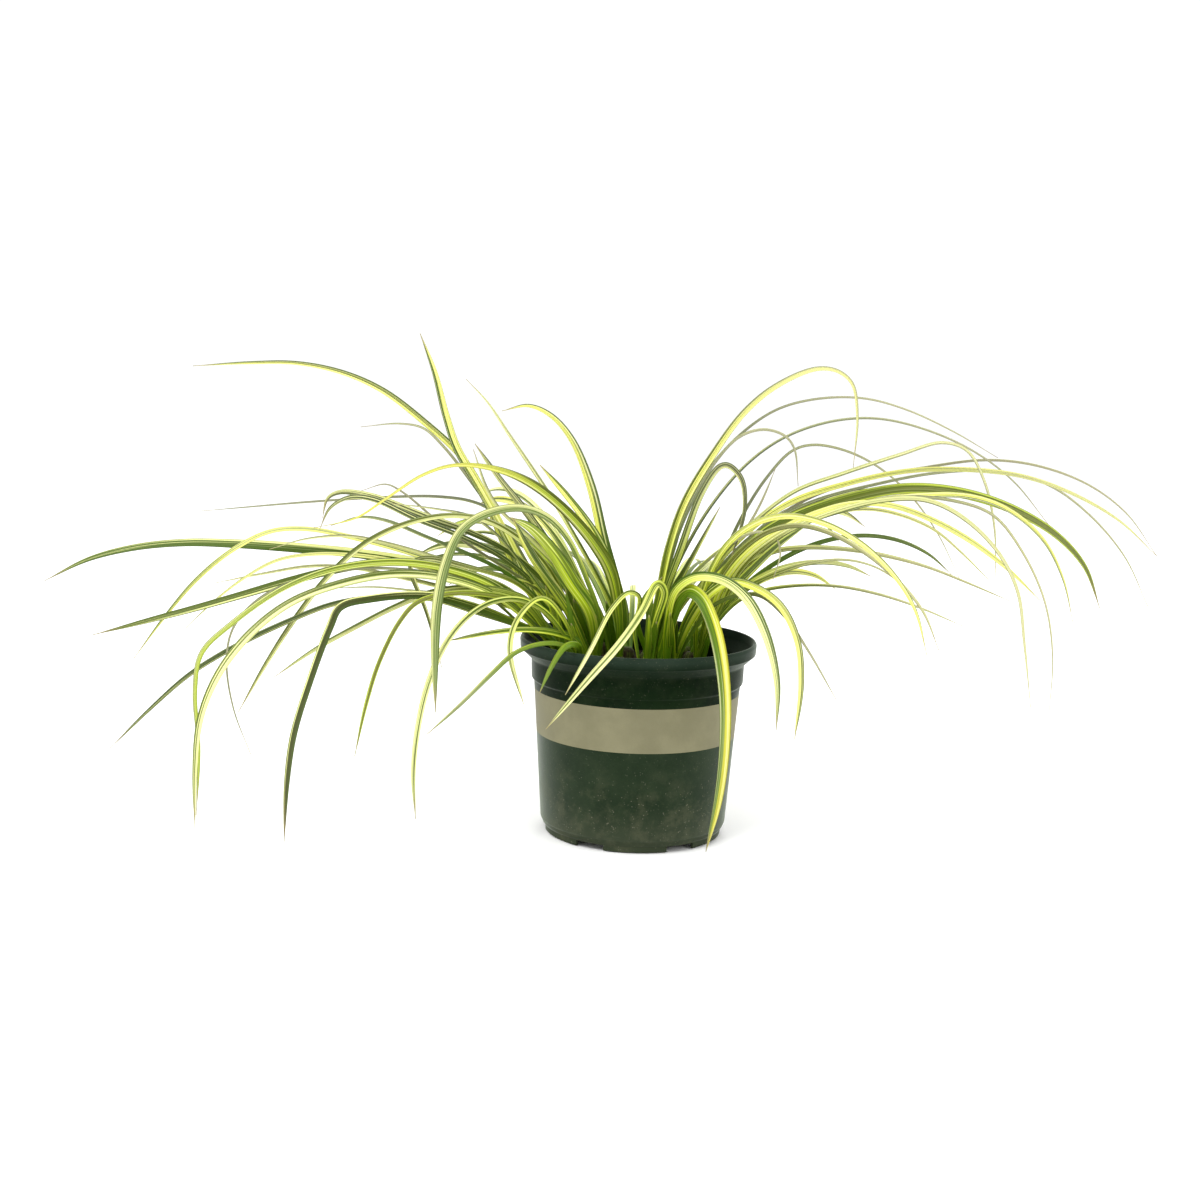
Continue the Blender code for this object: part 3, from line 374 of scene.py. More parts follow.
# The studio: each lamp's name, place, size and power; the light all round; and the camera.
LAMPS = (
    ("key", (-0.9, -1.1, 1.9), 1.0, 30.0),
    ("fill", (1.6, -1.2, 0.9), 1.3, 9.0),
    ("back", (0.5, 1.6, 1.6), 1.2, 18.0),
)
LAMP_AIM_HEIGHT = 0.15
WORLD_LIGHT = 1.07
FLOOR_REACH = 6
FLOOR_DROP = 0.0005
CAMERA_PITCH = math.radians(8.70)
CAMERA_YAW = math.radians(-1.32)
CAMERA_ROLL = math.radians(1.78)
LENS_LENGTH = 52.35
SENSOR_WIDTH = 36.0


def eye_scale(depth):
    """How much further from the eye a point at this depth is than the plane through the pot's axis."""
    return 1.0 + depth / EYE_DISTANCE


def placed(drawn):
    """The real places, in mm from the pot's axis, of points given as drawn x, depth and drawn z."""
    scale = eye_scale(drawn[..., 1])
    height = EYE_HEIGHT + (drawn[..., 2] - EYE_HEIGHT) * scale
    return np.stack([drawn[..., 0] * scale, drawn[..., 1], height], axis=-1)


def as_drawn(real):
    """The other way round: real places to drawn x, depth and drawn z."""
    scale = eye_scale(real[..., 1])
    height = EYE_HEIGHT + (real[..., 2] - EYE_HEIGHT) / scale
    return np.stack([real[..., 0] / scale, real[..., 1], height], axis=-1)


def unit(rows):
    """Each row as a direction of length one."""
    return rows / np.linalg.norm(rows, axis=1)[:, None]


def between(one, two, start, end, s):
    """From one to two as s goes from start to end."""
    return ((end - s) * one + (s - start) * two) / (end - start)


def smooth_through(points, per_span=14):
    """A dense curve through the points: a centripetal Catmull-Rom spline."""
    p = np.vstack([2 * points[0] - points[1], points, 2 * points[-1] - points[-2]])
    t = np.concatenate([[0.0], np.cumsum(np.sqrt(np.linalg.norm(np.diff(p, axis=0), axis=1)))])
    pieces = []
    for i in range(1, len(p) - 2):
        s = np.linspace(t[i], t[i + 1], per_span, endpoint=False)[:, None]
        lines = [between(p[k], p[k + 1], t[k], t[k + 1], s) for k in (i - 1, i, i + 1)]
        near = between(lines[0], lines[1], t[i - 1], t[i + 1], s)
        far = between(lines[1], lines[2], t[i], t[i + 2], s)
        pieces.append(between(near, far, t[i], t[i + 1], s))
    return np.vstack(pieces + [points[-1:]])


def travel_along(curve, bend_weight):
    """How far along the curve each point is, with its bends counted as added length; and its own length."""
    steps = np.diff(curve, axis=0)
    length = np.linalg.norm(steps, axis=1)
    heading = steps / length[:, None]
    turn = np.zeros(len(length))
    turn[1:] = np.arccos(np.clip((heading[1:] * heading[:-1]).sum(axis=1), -1, 1))
    return np.concatenate([[0.0], np.cumsum(length + bend_weight * turn)]), length.sum()


def points_at(at, known, curve):
    """The curve's points at the given places, when its own points are at the known ones."""
    return np.stack([np.interp(at, known, curve[:, axis]) for axis in range(3)], axis=-1)


def leaf_stations(curve):
    """A few points along the curve, closer together where it bends."""
    travel, length = travel_along(curve, BEND_WEIGHT)
    count = int(np.clip(round(length / STEP_LENGTH) + 2, FEWEST_STEPS, MOST_STEPS))
    return points_at(np.linspace(0.0, travel[-1], count + 1), travel, curve)


def root_of(crown, number, count, side):
    """Where a leaf starts in its crown: the leaves of a fan stand in a flat row."""
    offset = ROOT_SPREAD * (2.0 * number / max(count - 1, 1) - 1.0)
    return as_drawn(np.array([crown[0] + side * offset, crown[1] + 0.3 * offset, ROOT_HEIGHT]))


def traced_curve(root, tip_depth, points):
    """The smooth curve of a leaf given by its drawn points, with its depth easing from root to tip."""
    flat = np.array([(root[0], root[2])] + [p[:2] for p in points], float)
    run = np.concatenate([[0.0], np.cumsum(np.linalg.norm(np.diff(flat, axis=0), axis=1))])
    known = [(0.0, root[1]), (run[-1], tip_depth)]
    known += [(run[i + 1], p[2]) for i, p in enumerate(points) if len(p) > 2]
    depth = np.interp(run, *zip(*sorted(known)))
    return smooth_through(np.stack([flat[:, 0], depth, flat[:, 1]], axis=-1))


def arching_curve(root, bearing, lean, droop, length):
    """A leaf that leaves its crown at an angle from upright and bends over as it goes, in real places."""
    s = np.linspace(0.0, 1.0, 60)
    angle = np.radians(lean + (droop - lean) * s ** 1.5)
    step = length / (len(s) - 1)
    out = np.concatenate([[0.0], np.cumsum(np.sin(angle[:-1]) * step)])
    up = np.concatenate([[0.0], np.cumsum(np.cos(angle[:-1]) * step)])
    heading = math.radians(bearing)
    start = placed(root)
    real = np.stack(
        [start[0] + out * math.cos(heading), start[1] + out * math.sin(heading), start[2] + up], axis=-1
    )
    return as_drawn(real)


def width_pair(width):
    """The widths of the lower and the outer blade."""
    if isinstance(width, tuple):
        return width
    return tuple(width * share for share in PLAIN_WIDTHS)


def plan_leaves():
    """Every leaf: its fan, look, width, stations (drawn x, depth, drawn z) and which way its face turns."""
    draw = np.random.default_rng(SEED)
    leaves = []

    def add(fan, look, width, curve, turn):
        leaves.append({
            "fan": fan, "look": look, "width": width_pair(width), "at": leaf_stations(curve), "turn": turn,
        })

    for fan, (crown, traced) in FANS.items():
        side = 1 if crown[0] > -12 else -1
        count = len(traced) + YOUNG_COUNT
        for number, (look, width, tip_depth, drawn) in enumerate(traced):
            points = [tuple(map(float, point.split(","))) for point in drawn.split()]
            curve = traced_curve(root_of(crown, number, count, side), tip_depth, points)
            add(fan, look, width, curve, FACE_TURN * (1 if points[-1][0] > points[0][0] else -1))
        for number in range(len(traced), count):
            root = root_of(crown, number, count, side)
            bearing = math.degrees(math.atan2(crown[1], crown[0])) + draw.uniform(-50, 50)
            lean, droop = draw.uniform(*YOUNG_LEAN), draw.uniform(*YOUNG_DROOP)
            curve = arching_curve(root, bearing, lean, droop, draw.uniform(*YOUNG_LENGTH))
            look = YOUNG_LOOKS[len(leaves) % len(YOUNG_LOOKS)]
            add(fan, look, draw.uniform(*YOUNG_WIDTH), curve, FACE_TURN * side)
    for fan, (crown, count, bearings, lengths, leans) in BACK_FANS.items():
        side = 1 if crown[0] > 0 else -1
        for number in range(count):
            bearing = bearings[0] + (bearings[1] - bearings[0]) * (number + draw.uniform(0.2, 0.8)) / count
            curve = arching_curve(
                root_of(crown, number, count, side), bearing,
                draw.uniform(*leans), draw.uniform(*BACK_DROOP), draw.uniform(*lengths),
            )
            look = BACK_LOOKS[len(leaves) % len(BACK_LOOKS)]
            add(fan, look, draw.uniform(*BACK_WIDTH), curve, FACE_TURN * side)
    return leaves


def share_along(real):
    step = np.linalg.norm(np.diff(real, axis=0), axis=1)
    return np.concatenate([[0.0], np.cumsum(step)]) / step.sum()


def half_width_at(leaf, s):
    """Half the blade's width along it: narrow at the root, full soon after, then a slow taper."""
    rise = ROOT_SHARE + (1.0 - ROOT_SHARE) * np.clip(s / FULL_WIDTH_AT, 0, 1)
    width = np.interp(s, OUTER_SPAN, leaf["width"]) * rise * (1.0 - s ** TIP_POWER)
    return 0.5 * WIDTH_FACTOR * width


def half_widths(leaf):
    s = share_along(placed(leaf["at"]))
    return np.maximum(half_width_at(leaf, s), 0.5 * TIP_WIDTH), s


def half_thicknesses(s):
    root = np.clip(1 - s / 0.2, 0, 1)
    body = BLADE_THICKNESS + (TIP_THICKNESS - BLADE_THICKNESS) * s
    return 0.5 * (body + (ROOT_THICKNESS - BLADE_THICKNESS) * root)


def sight_lines(real):
    """The direction from the eye to each point."""
    return unit(real - np.array([0.0, -EYE_DISTANCE, EYE_HEIGHT]))


def squared(across, along):
    """The across directions, set square to the along ones."""
    return unit(across - (across * along).sum(axis=1)[:, None] * along)


def blade_axes(real, turn):
    """At each station: along the blade and across its width."""
    along = unit(np.gradient(real, axis=0))
    sight = sight_lines(real)
    broad = np.cross(along, sight)
    level = np.cross(along, [0.0, 0.0, 1.0])
    away = sight - (sight * along).sum(axis=1)[:, None] * along
    across = math.cos(turn) * broad + math.sin(turn) * away
    level *= np.where((level * across).sum(axis=1) < 0, -1.0, 1.0)[:, None]
    end_on = np.clip(1.0 - np.linalg.norm(broad, axis=1) / 0.5, 0, 1)[:, None]
    across = across * (1 - end_on) + level * end_on
    for k in range(1, len(across)):
        if across[k] @ across[k - 1] < 0:
            across[k] *= -1
    return along, squared(across, along)


def nearest_on(points, starts, ends):
    """For each point and segment in the drawn plane: the share along the segment and the distance."""
    span = ends - starts
    share = ((points[:, None] - starts[None]) * span[None]).sum(axis=2) / (span ** 2).sum(axis=1)[None]
    share = np.clip(share, 0, 1)
    foot = starts[None] + share[..., None] * span[None]
    return share, np.linalg.norm(points[:, None] - foot, axis=2)


def contacts_between(a, b, reach_a, reach_b):
    """Where two leaves pass near each other in the drawn plane: shares along each, as station numbers."""
    flat_a, flat_b = a[:, [0, 2]], b[:, [0, 2]]
    lowest = np.maximum(flat_a.min(axis=0), flat_b.min(axis=0))
    highest = np.minimum(flat_a.max(axis=0), flat_b.max(axis=0))
    if (lowest - highest).max() > reach_a.max() + reach_b.max():
        return []
    found = []
    for one, two, reach_one, reach_two, swapped in (
        (flat_a, flat_b, reach_a, reach_b, False), (flat_b, flat_a, reach_b, reach_a, True),
    ):
        numbers = np.arange(0, len(one) - 0.99, 0.25)
        samples = np.stack([np.interp(numbers, np.arange(len(one)), one[:, i]) for i in range(2)], axis=-1)
        share, distance = nearest_on(samples, two[:-1], two[1:])
        reach = np.interp(numbers, np.arange(len(one)), reach_one)[:, None] + reach_two[None, :-1]
        for m, n in zip(*np.nonzero(distance < reach + CLEARANCE)):
            pair = (numbers[m], n + share[m, n])
            found.append(pair[::-1] if swapped else pair)
    return found


def reach_of(leaf):
    """How far a leaf reaches at each station: sideways in the drawn plane, and along the line of sight."""
    real = placed(leaf["at"])
    along, across = blade_axes(real, leaf["turn"])
    half_width, s = half_widths(leaf)
    half_thickness = half_thicknesses(s)
    sight = sight_lines(real)
    end_on = np.maximum(np.linalg.norm(np.cross(along, sight), axis=1), LEAST_END_ON)
    into = np.abs((across * sight).sum(axis=1))
    sideways = half_width * np.sqrt(1 - np.minimum(into, 0.99) ** 2) + half_thickness
    return sideways, (half_width * into + half_thickness) / end_on


def meetings(leaves, first):
    """Where leaves pass each other: a place on one, a place on the other, and the room they need."""
    half, deep = zip(*[reach_of(leaf) for leaf in leaves])
    rows = []
    for i, one in enumerate(leaves):
        for j in range(i + 1, len(leaves)):
            two = leaves[j]
            same = one["fan"] == two["fan"]
            for m, n in contacts_between(one["at"], two["at"], half[i], half[j]):
                if same and min(m, n) < 3:
                    continue
                need = np.interp(m, range(len(deep[i])), deep[i])
                need += np.interp(n, range(len(deep[j])), deep[j])
                rows.append((first[i] + m, first[j] + n, need + (0.0 if same else CLEARANCE)))
    return np.array(rows)


def settle(leaves):
    """Pushes leaves apart along the line of sight until each clears the others it passes."""
    first = np.cumsum([0] + [len(leaf["at"]) for leaf in leaves])
    start = np.concatenate([leaf["at"][:, 1] for leaf in leaves])
    depth = start.copy()
    drawn_z = np.concatenate([leaf["at"][:, 2] for leaf in leaves])
    number = np.concatenate([np.arange(len(leaf["at"])) for leaf in leaves])
    free = np.clip((number - 0.5) / 2.5, 0, 1)
    rows = meetings(leaves, first)
    low = [np.maximum(np.floor(rows[:, c] - 1e-9).astype(int), 0) for c in range(2)]
    part = [rows[:, c] - low[c] for c in range(2)]
    need = rows[:, 2]
    highest = EYE_DISTANCE * ((EYE_HEIGHT - FLOOR_CLEARANCE) / np.maximum(EYE_HEIGHT - drawn_z, 1.0) - 1)
    side = None
    for _ in range(SETTLE_ROUNDS):
        at = [depth[low[c]] * (1 - part[c]) + depth[low[c] + 1] * part[c] for c in range(2)]
        gap = at[0] - at[1]
        if side is None:
            side = np.where(gap >= 0, 1.0, -1.0)
        short = np.maximum(need - side * gap, 0.0)
        push = np.zeros(len(depth))
        weight = np.full(len(depth), 1e-6)
        for c, way in ((0, 1.0), (1, -1.0)):
            for node, share in ((low[c], 1 - part[c]), (low[c] + 1, part[c])):
                np.add.at(push, node, 0.5 * way * side * short * share)
                np.add.at(weight, node, share * (short > 0))
        depth = depth + SETTLE_RATE * free * push / np.maximum(weight, 1.0)
        moved = depth - start
        for i in range(len(leaves)):
            own = moved[first[i]:first[i + 1]]
            own[1:-1] += SETTLE_EVENING * (own[:-2] + own[2:] - 2 * own[1:-1])
        depth = np.minimum(start + moved, np.maximum(highest, start))
    for i, leaf in enumerate(leaves):
        leaf["at"][:, 1] = depth[first[i]:first[i + 1]]


def softened(rows, rounds):
    """Rows of vectors with sudden changes evened out."""
    for _ in range(rounds):
        rows[1:-1] = 0.25 * rows[:-2] + 0.5 * rows[1:-1] + 0.25 * rows[2:]
    return rows


def fine_centre(leaf):
    """The leaf's middle line through its settled stations, as real places that crowd where it bends."""
    dense = placed(smooth_through(leaf["at"], per_span=30))
    s = share_along(dense)
    travel, _ = travel_along(dense, FINE_BEND_WEIGHT)
    count = int(np.clip(round(travel[-1] / RING_STEP), FEWEST_RINGS, MOST_RINGS))
    at = np.interp(np.linspace(0.0, travel[-1], count + 1), travel, s)
    return points_at(at, s, dense), at


def blade_points(leaf, draw):
    """The rings of a fine blade: a shallow folded section with a midrib, thin edges and a drawn-out tip."""
    centre, s = fine_centre(leaf)
    along, across = blade_axes(centre, leaf["turn"])
    across = squared(softened(across, ACROSS_ROUNDS), along)
    wave = np.sin(2 * math.pi * (draw.uniform(*TWIST_WAVES) * s + draw.uniform(0, 1)))
    twist = draw.uniform(*TWIST) * wave * np.clip(s / 0.15, 0, 1)
    face = np.cross(along, across)
    turned_across = np.cos(twist)[:, None] * across + np.sin(twist)[:, None] * face
    turned_face = np.cross(along, turned_across)
    towards = turned_face @ np.array([0.0, -1.0, 0.5])
    if towards.mean() < 0:
        turned_face = -turned_face
    width = half_width_at(leaf, s)
    width *= 1.0 + EDGE_WAVE * np.sin(2 * math.pi * (EDGE_WAVES * s + draw.uniform(0, 1)))
    if leaf["look"] == OUTER_LEMON:
        width *= np.interp(s, SLIM_SPAN, (1.0, OUTER_SLIM))
    width = np.maximum(width, 0.5 * FINE_TIP_WIDTH)
    body = FINE_THICKNESS + (FINE_TIP_THICKNESS - FINE_THICKNESS) * s ** 2
    thick = 0.5 * (body + (FINE_ROOT_THICKNESS - FINE_THICKNESS) * np.clip(1 - s / 0.16, 0, 1))
    thick = np.minimum(thick, 0.6 * width)
    fold = draw.uniform(*FOLD) * np.clip(s / 0.1, 0, 1) * (1 - 0.5 * s)
    rings = []
    for points, sign in ((TOP_POINTS, 1.0), (UNDER_POINTS, -1.0)):
        for u in points:
            lens = math.sqrt(max(1.0 - u * u, 0.0)) * 0.85 + 0.15 * (1 - abs(u))
            rib = MIDRIB_HEIGHT * math.exp(-(u / 0.2) ** 2)
            lift = sign * thick * lens - (rib * np.clip(width / 2.0, 0, 1) if sign < 0 else 0.0)
            lift = lift + fold * width * (abs(u) - 0.5)
            rings.append(centre + turned_across * (u * width)[:, None] + turned_face * lift[:, None])
    return np.stack(rings, axis=1), s


def srgb(color):
    """Linear values of a colour given as the eye sees it."""
    return [c / 12.92 if c <= 0.04045 else ((c + 0.055) / 1.055) ** 2.4 for c in color]


def ring_loft(count, around, first):
    """Faces round and along a stack of rings, with both ends closed; vertex numbers start at first."""
    faces = []
    for a in range(first, first + (count - 1) * around, around):
        for c in range(around):
            n = (c + 1) % around
            faces.append((a + c, a + n, a + around + n, a + around + c))
    faces.append(tuple(first + c for c in reversed(range(around))))
    faces.append(tuple(first + (count - 1) * around + c for c in range(around)))
    return faces


def crown_points(crown, draw):
    """The short stub that a fan of leaves grows from, wrapped in old leaf bases."""
    rings = []
    phase = draw.uniform(0, 6)
    turn = np.linspace(0, 2 * math.pi, CROWN_SIDES, endpoint=False)
    for t in np.linspace(0.0, 1.0, CROWN_RINGS):
        radius = CROWN_RADIUS + (CROWN_NECK_RADIUS - CROWN_RADIUS) * t
        radius *= math.cos(0.5 * math.pi * max(0.0, (t - 0.8) / 0.3)) ** 0.5
        rough = radius * (1 - 0.05 * (1 + np.sin(5 * turn + 4 * t + phase)) * 0.5)
        x, y = crown[0] + rough * np.cos(turn), crown[1] + rough * np.sin(turn)
        height = np.full(CROWN_SIDES, CROWN_TOP - CROWN_DEPTH * (1 - t))
        rings.append(np.stack([x, y, height], axis=-1))
    return np.stack(rings)


def add_object(name, data):
    obj = bpy.data.objects.new(name, data)
    bpy.context.scene.collection.objects.link(obj)
    return obj


def mesh_object(name, points, faces, materials):
    mesh = bpy.data.meshes.new(name)
    mesh.from_pydata([tuple(p) for p in points], [], faces)
    for material in materials:
        mesh.materials.append(material)
    return add_object(name, mesh)


def use_second(mesh, first):
    """Gives the faces from this one on the mesh's second material."""
    slots = np.zeros(len(mesh.polygons), np.int32)
    slots[first:] = 1
    mesh.polygons.foreach_set("material_index", slots)


def put_attribute(mesh, name, values):
    """A value for each vertex: one number, or a colour."""
    values = np.asarray(values, np.float32)
    kind = "FLOAT_COLOR" if values.ndim == 2 else "FLOAT"
    layer = mesh.attributes.new(name, kind, "POINT")
    layer.data.foreach_set("color" if values.ndim == 2 else "value", values.ravel())


def build_leaves(name, fan, crown, leaves, materials, draw):
    """All the fine blades of one fan and their crown, in one piece."""
    points, faces, values = [], [], {key: [] for key in LEAF_VALUES + LEAF_COLORS}
    faded = FADED["right" if crown[0] > 0 else "left"]
    count = 0
    for leaf in leaves:
        rings, s = blade_points(leaf, draw)
        rows, around = rings.shape[:2]
        size = rows * around
        faces += ring_loft(rows, around, count)
        count += size
        points.append(rings.reshape(-1, 3))
        green, yellow, share, side, middle = LOOKS[leaf["look"]]
        tint = 1.0 + draw.uniform(-0.10, 0.10)
        redder = 0.5 * draw.uniform(-0.03, 0.03)
        green = [min(1.0, c * tint + e) for c, e in zip(srgb(GREENS[green]), (redder, 0.0, 0.0))]
        yellow = [min(1.0, c * (1.0 + 0.4 * (tint - 1.0))) for c in srgb(YELLOWS[yellow])]
        length = np.linalg.norm(np.diff(placed(leaf["at"]), axis=0), axis=1).sum()
        values["across"].append(np.tile(np.array(TOP_POINTS + UNDER_POINTS), rows))
        values["along"].append(np.repeat(s, around))
        values["grown"].append(np.repeat(s * length * MM, around))
        for key, value in (
            ("seed", draw.uniform(0, 10)), ("share", share + draw.uniform(-0.05, 0.05)),
            ("side", side), ("middle", middle), ("outer", float(leaf["look"] == OUTER_LEMON)),
            ("faded", faded[int(leaf["width"][1] >= THIN_BLADE)]),
        ):
            values[key].append(np.full(size, value))
        values["green"].append(np.tile(green + [1.0], (size, 1)))
        values["yellow"].append(np.tile(yellow + [1.0], (size, 1)))
    leaf_faces = len(faces)
    stub = crown_points(crown, draw)
    faces += ring_loft(CROWN_RINGS, CROWN_SIDES, count)
    points.append(stub.reshape(-1, 3))
    size = CROWN_RINGS * CROWN_SIDES
    for key in LEAF_VALUES:
        values[key].append(np.zeros(size))
    for key in LEAF_COLORS:
        values[key].append(np.tile([0.1, 0.1, 0.05, 1.0], (size, 1)))
    place = np.vstack(points) * MM + np.array([AXIS_X, AXIS_Y, 0.0])
    obj = mesh_object(name, place, faces, materials)
    for key, rows in values.items():
        put_attribute(obj.data, key, np.concatenate(rows))
    use_second(obj.data, leaf_faces)
    work = bmesh.new()
    work.from_mesh(obj.data)
    bmesh.ops.recalc_face_normals(work, faces=work.faces)
    work.to_mesh(obj.data)
    work.free()
    obj.data.shade_smooth()
    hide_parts(fan)
    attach(obj, "root")


class Nodes:
    """A material's node tree, with short calls for the nodes that it is made of."""

    def __init__(self, name):
        self.material = bpy.data.materials.new(name)
        self.material.use_nodes = True
        self.tree = self.material.node_tree
        self.shader = self.tree.nodes["Principled BSDF"]

    def link(self, value, socket):
        if isinstance(value, bpy.types.NodeSocket):
            self.tree.links.new(value, socket)
        else:
            socket.default_value = value

    def add(self, kind, inputs=(), **settings):
        """A new node with its settings; each input is a socket's name or number and its value."""
        node = self.tree.nodes.new(kind)
        for name, setting in settings.items():
            setattr(node, name, setting)
        for name, value in inputs:
            self.link(value, node.inputs[name])
        return node

    def attribute(self, name, output="Fac"):
        return self.add("ShaderNodeAttribute", attribute_name=name).outputs[output]

    def place(self):
        return self.add("ShaderNodeTexCoord").outputs["Object"]

    def math(self, operation, *values):
        return self.add("ShaderNodeMath", enumerate(values), operation=operation).outputs[0]

    def times(self, one, two):
        return self.math("MULTIPLY", one, two)

    def total(self, first, *others):
        for other in others:
            first = self.math("ADD", first, other)
        return first

    def join(self, x, y, z):
        return self.add("ShaderNodeCombineXYZ", enumerate((x, y, z))).outputs[0]

    def split(self, vector):
        return self.add("ShaderNodeSeparateXYZ", [(0, vector)]).outputs

    def stretch(self, vector, scale):
        node = self.add("ShaderNodeVectorMath", [(0, vector), (1, scale)], operation="MULTIPLY")
        return node.outputs[0]

    def noise(self, vector, scale=1.0, detail=3.0, roughness=0.55):
        inputs = (("Vector", vector), ("Scale", scale), ("Detail", detail), ("Roughness", roughness))
        return self.add("ShaderNodeTexNoise", inputs).outputs["Fac"]

    def cells(self, vector, scale):
        inputs = (("Vector", vector), ("Scale", scale))
        return self.add("ShaderNodeTexVoronoi", inputs).outputs["Distance"]

    def step(self, value, low, high, out_low=0.0, out_high=1.0):
        """Eases from out_low to out_high as the value goes from low to high."""
        inputs = (
            ("Value", value), ("From Min", low), ("From Max", high),
            ("To Min", out_low), ("To Max", out_high),
        )
        return self.add("ShaderNodeMapRange", inputs, interpolation_type="SMOOTHSTEP").outputs[0]

    def mix(self, share, one, two, blend="MIX"):
        node = self.add("ShaderNodeMix", [("Factor", share)], data_type="RGBA", blend_type=blend)
        colour_inputs = [socket for socket in node.inputs if socket.type == "RGBA"]
        for socket, value in zip(colour_inputs, (one, two)):
            self.link(value if isinstance(value, bpy.types.NodeSocket) else (*value, 1.0), socket)
        return next(socket for socket in node.outputs if socket.type == "RGBA")

    def tint(self, color, target, mask, most):
        """The colour mixed towards the target where the mask is 1, by the share most."""
        return self.mix(self.times(mask, most), color, target)

    def bump(self, height, strength, distance, under=None):
        inputs = [("Strength", strength), ("Distance", distance), ("Height", height)]
        if under is not None:
            inputs.append(("Normal", under))
        return self.add("ShaderNodeBump", inputs).outputs[0]

    def finish(self, color, roughness, normal=None, **constants):
        """Links the colour, roughness and normal, and sets the shader's named constants."""
        self.link(color, self.shader.inputs["Base Color"])
        self.link(roughness, self.shader.inputs["Roughness"])
        if normal is not None:
            self.link(normal, self.shader.inputs["Normal"])
        for name, value in constants.items():
            self.shader.inputs[name.replace("_", " ")].default_value = value
        return self.material


def leaf_material():
    """Lengthwise stripes of green and yellow with fine veins, darker edges, green bases darkened with
    painted shade, and dry tips.
    """
    n = Nodes("sweet flag leaf")
    across, along, grown, seed, share = (
        n.attribute(key) for key in ("across", "along", "grown", "seed", "share")
    )
    sided = n.times(n.attribute("side"), across)
    from_middle = n.math("ABSOLUTE", across)

    def stripes(count, shift, length, detail, roughness=0.55, layer=seed):
        """Noise drawn out along the blade; a higher count gives finer stripes."""
        x = n.math("MULTIPLY_ADD", across, count, n.times(seed, shift))
        return n.noise(n.join(x, n.times(along, length), layer), 1.0, detail, roughness)

    broad = stripes(1.9, 17.0, 1.6, 2.0, layer=n.times(seed, 5.0))
    lines = stripes(6.5, 31.0, 1.4, 3.0, 0.6)
    veins = stripes(22.0, 47.0, 2.5, 2.0)
    strands = stripes(4.4, 23.0, 1.2, 1.0)

    # Where the yellow is.
    at_root = n.step(grown, 0.020, 0.135, 1.0, 0.0)
    outer = n.times(n.attribute("outer"), n.step(along, 0.38, 0.66))
    is_yellow = n.step(n.total(
        n.times(sided, 0.45),
        n.times(n.attribute("middle"), n.math("SUBTRACT", 0.5, from_middle)),
        n.times(n.math("SUBTRACT", broad, 0.5), 1.1),
        n.times(n.math("SUBTRACT", lines, 0.5), 0.75),
        n.math("SUBTRACT", share, 0.40),
        n.times(at_root, -0.20),
        n.times(outer, 0.40),
    ), -0.07, 0.07)
    yellow = n.tint(n.attribute("yellow", "Color"), ROOT_LIME, at_root, 0.8)
    green = n.tint(n.attribute("green", "Color"), ROOT_LEAF, at_root, 0.4)
    color = n.mix(is_yellow, green, yellow)
    color = n.tint(color, OCHRE, n.times(outer, is_yellow), 0.85)
    color = n.tint(color, EDGE_SHADE, n.step(sided, -0.30, -0.62), 0.55)

    # Strands, veins, the faded outer half, and the deep green base darkened with painted shade.
    light_share = n.step(share, 0.16, 0.50, 0.0, 0.62)
    color = n.tint(color, LIGHT_STRAND, n.step(strands, 0.52, 0.64), light_share)
    dark_share = n.math("MULTIPLY_ADD", at_root, 0.26, 0.53)
    color = n.tint(color, DARK_STRAND, n.step(strands, 0.46, 0.37), dark_share)
    vein_share = n.math("MULTIPLY_ADD", light_share, 0.30, 0.04)
    color = n.tint(color, LIGHT_VEIN, n.step(veins, 0.50, 0.75), vein_share)
    color = n.tint(color, DARK_VEIN, n.step(veins, 0.45, 0.22), 0.50)
    color = n.tint(color, FADED_STRAW, n.attribute("faded"), n.step(along, 0.35, 0.85))
    # Painted shade: the first few centimetres of each leaf, low in the pot's mouth among the others, are
    # darkened.
    color = n.mix(n.step(grown, 0.012, 0.062, 0.78, 0.0), color, ROOT_PAINTED_SHADE)
    color = n.mix(at_root, color, ROOT_FILTER, blend="MULTIPLY")

    # Brown edges, blotches and tips.
    ragged_edge = n.times(n.step(from_middle, 0.86, 1.0), n.step(lines, 0.40, 0.62))
    color = n.tint(color, EDGE_BROWN, ragged_edge, 0.42)
    blotches = n.noise(n.join(across, n.times(along, 14.0), seed))
    color = n.tint(color, BLOTCH_BROWN, n.step(blotches, 0.66, 0.80), 0.30)
    tip = n.math("MULTIPLY_ADD", n.math("SUBTRACT", lines, 0.5), 0.10, along)
    color = n.tint(color, DRY_BROWN, n.step(tip, 0.93, 0.995), 0.75)
    return n.finish(
        color, n.step(lines, 0.2, 0.8, 0.36, 0.50), n.bump(veins, 0.55, 0.0003), Specular_IOR_Level=0.11,
        Subsurface_Weight=0.12, Subsurface_Scale=0.0005, Subsurface_Radius=(0.6, 1.0, 0.25),
    )


def crown_material():
    """Old leaf bases: dull green and straw fibres with brown ones between."""
    n = Nodes("leaf bases")
    place = n.place()
    fibres = n.noise(n.stretch(place, (900.0, 900.0, 70.0)), detail=3.0)
    patches = n.noise(place, scale=160.0, detail=2.0)
    color = n.mix(n.step(fibres, 0.35, 0.65), *FIBRE_GREENS)
    color = n.mix(n.step(patches, 0.50, 0.70), color, FIBRE_BROWN)
    normal = n.bump(fibres, 0.7, 0.0005)
    return n.finish(color, n.step(fibres, 0.3, 0.7, 0.6, 0.85), normal, Specular_IOR_Level=0.08)


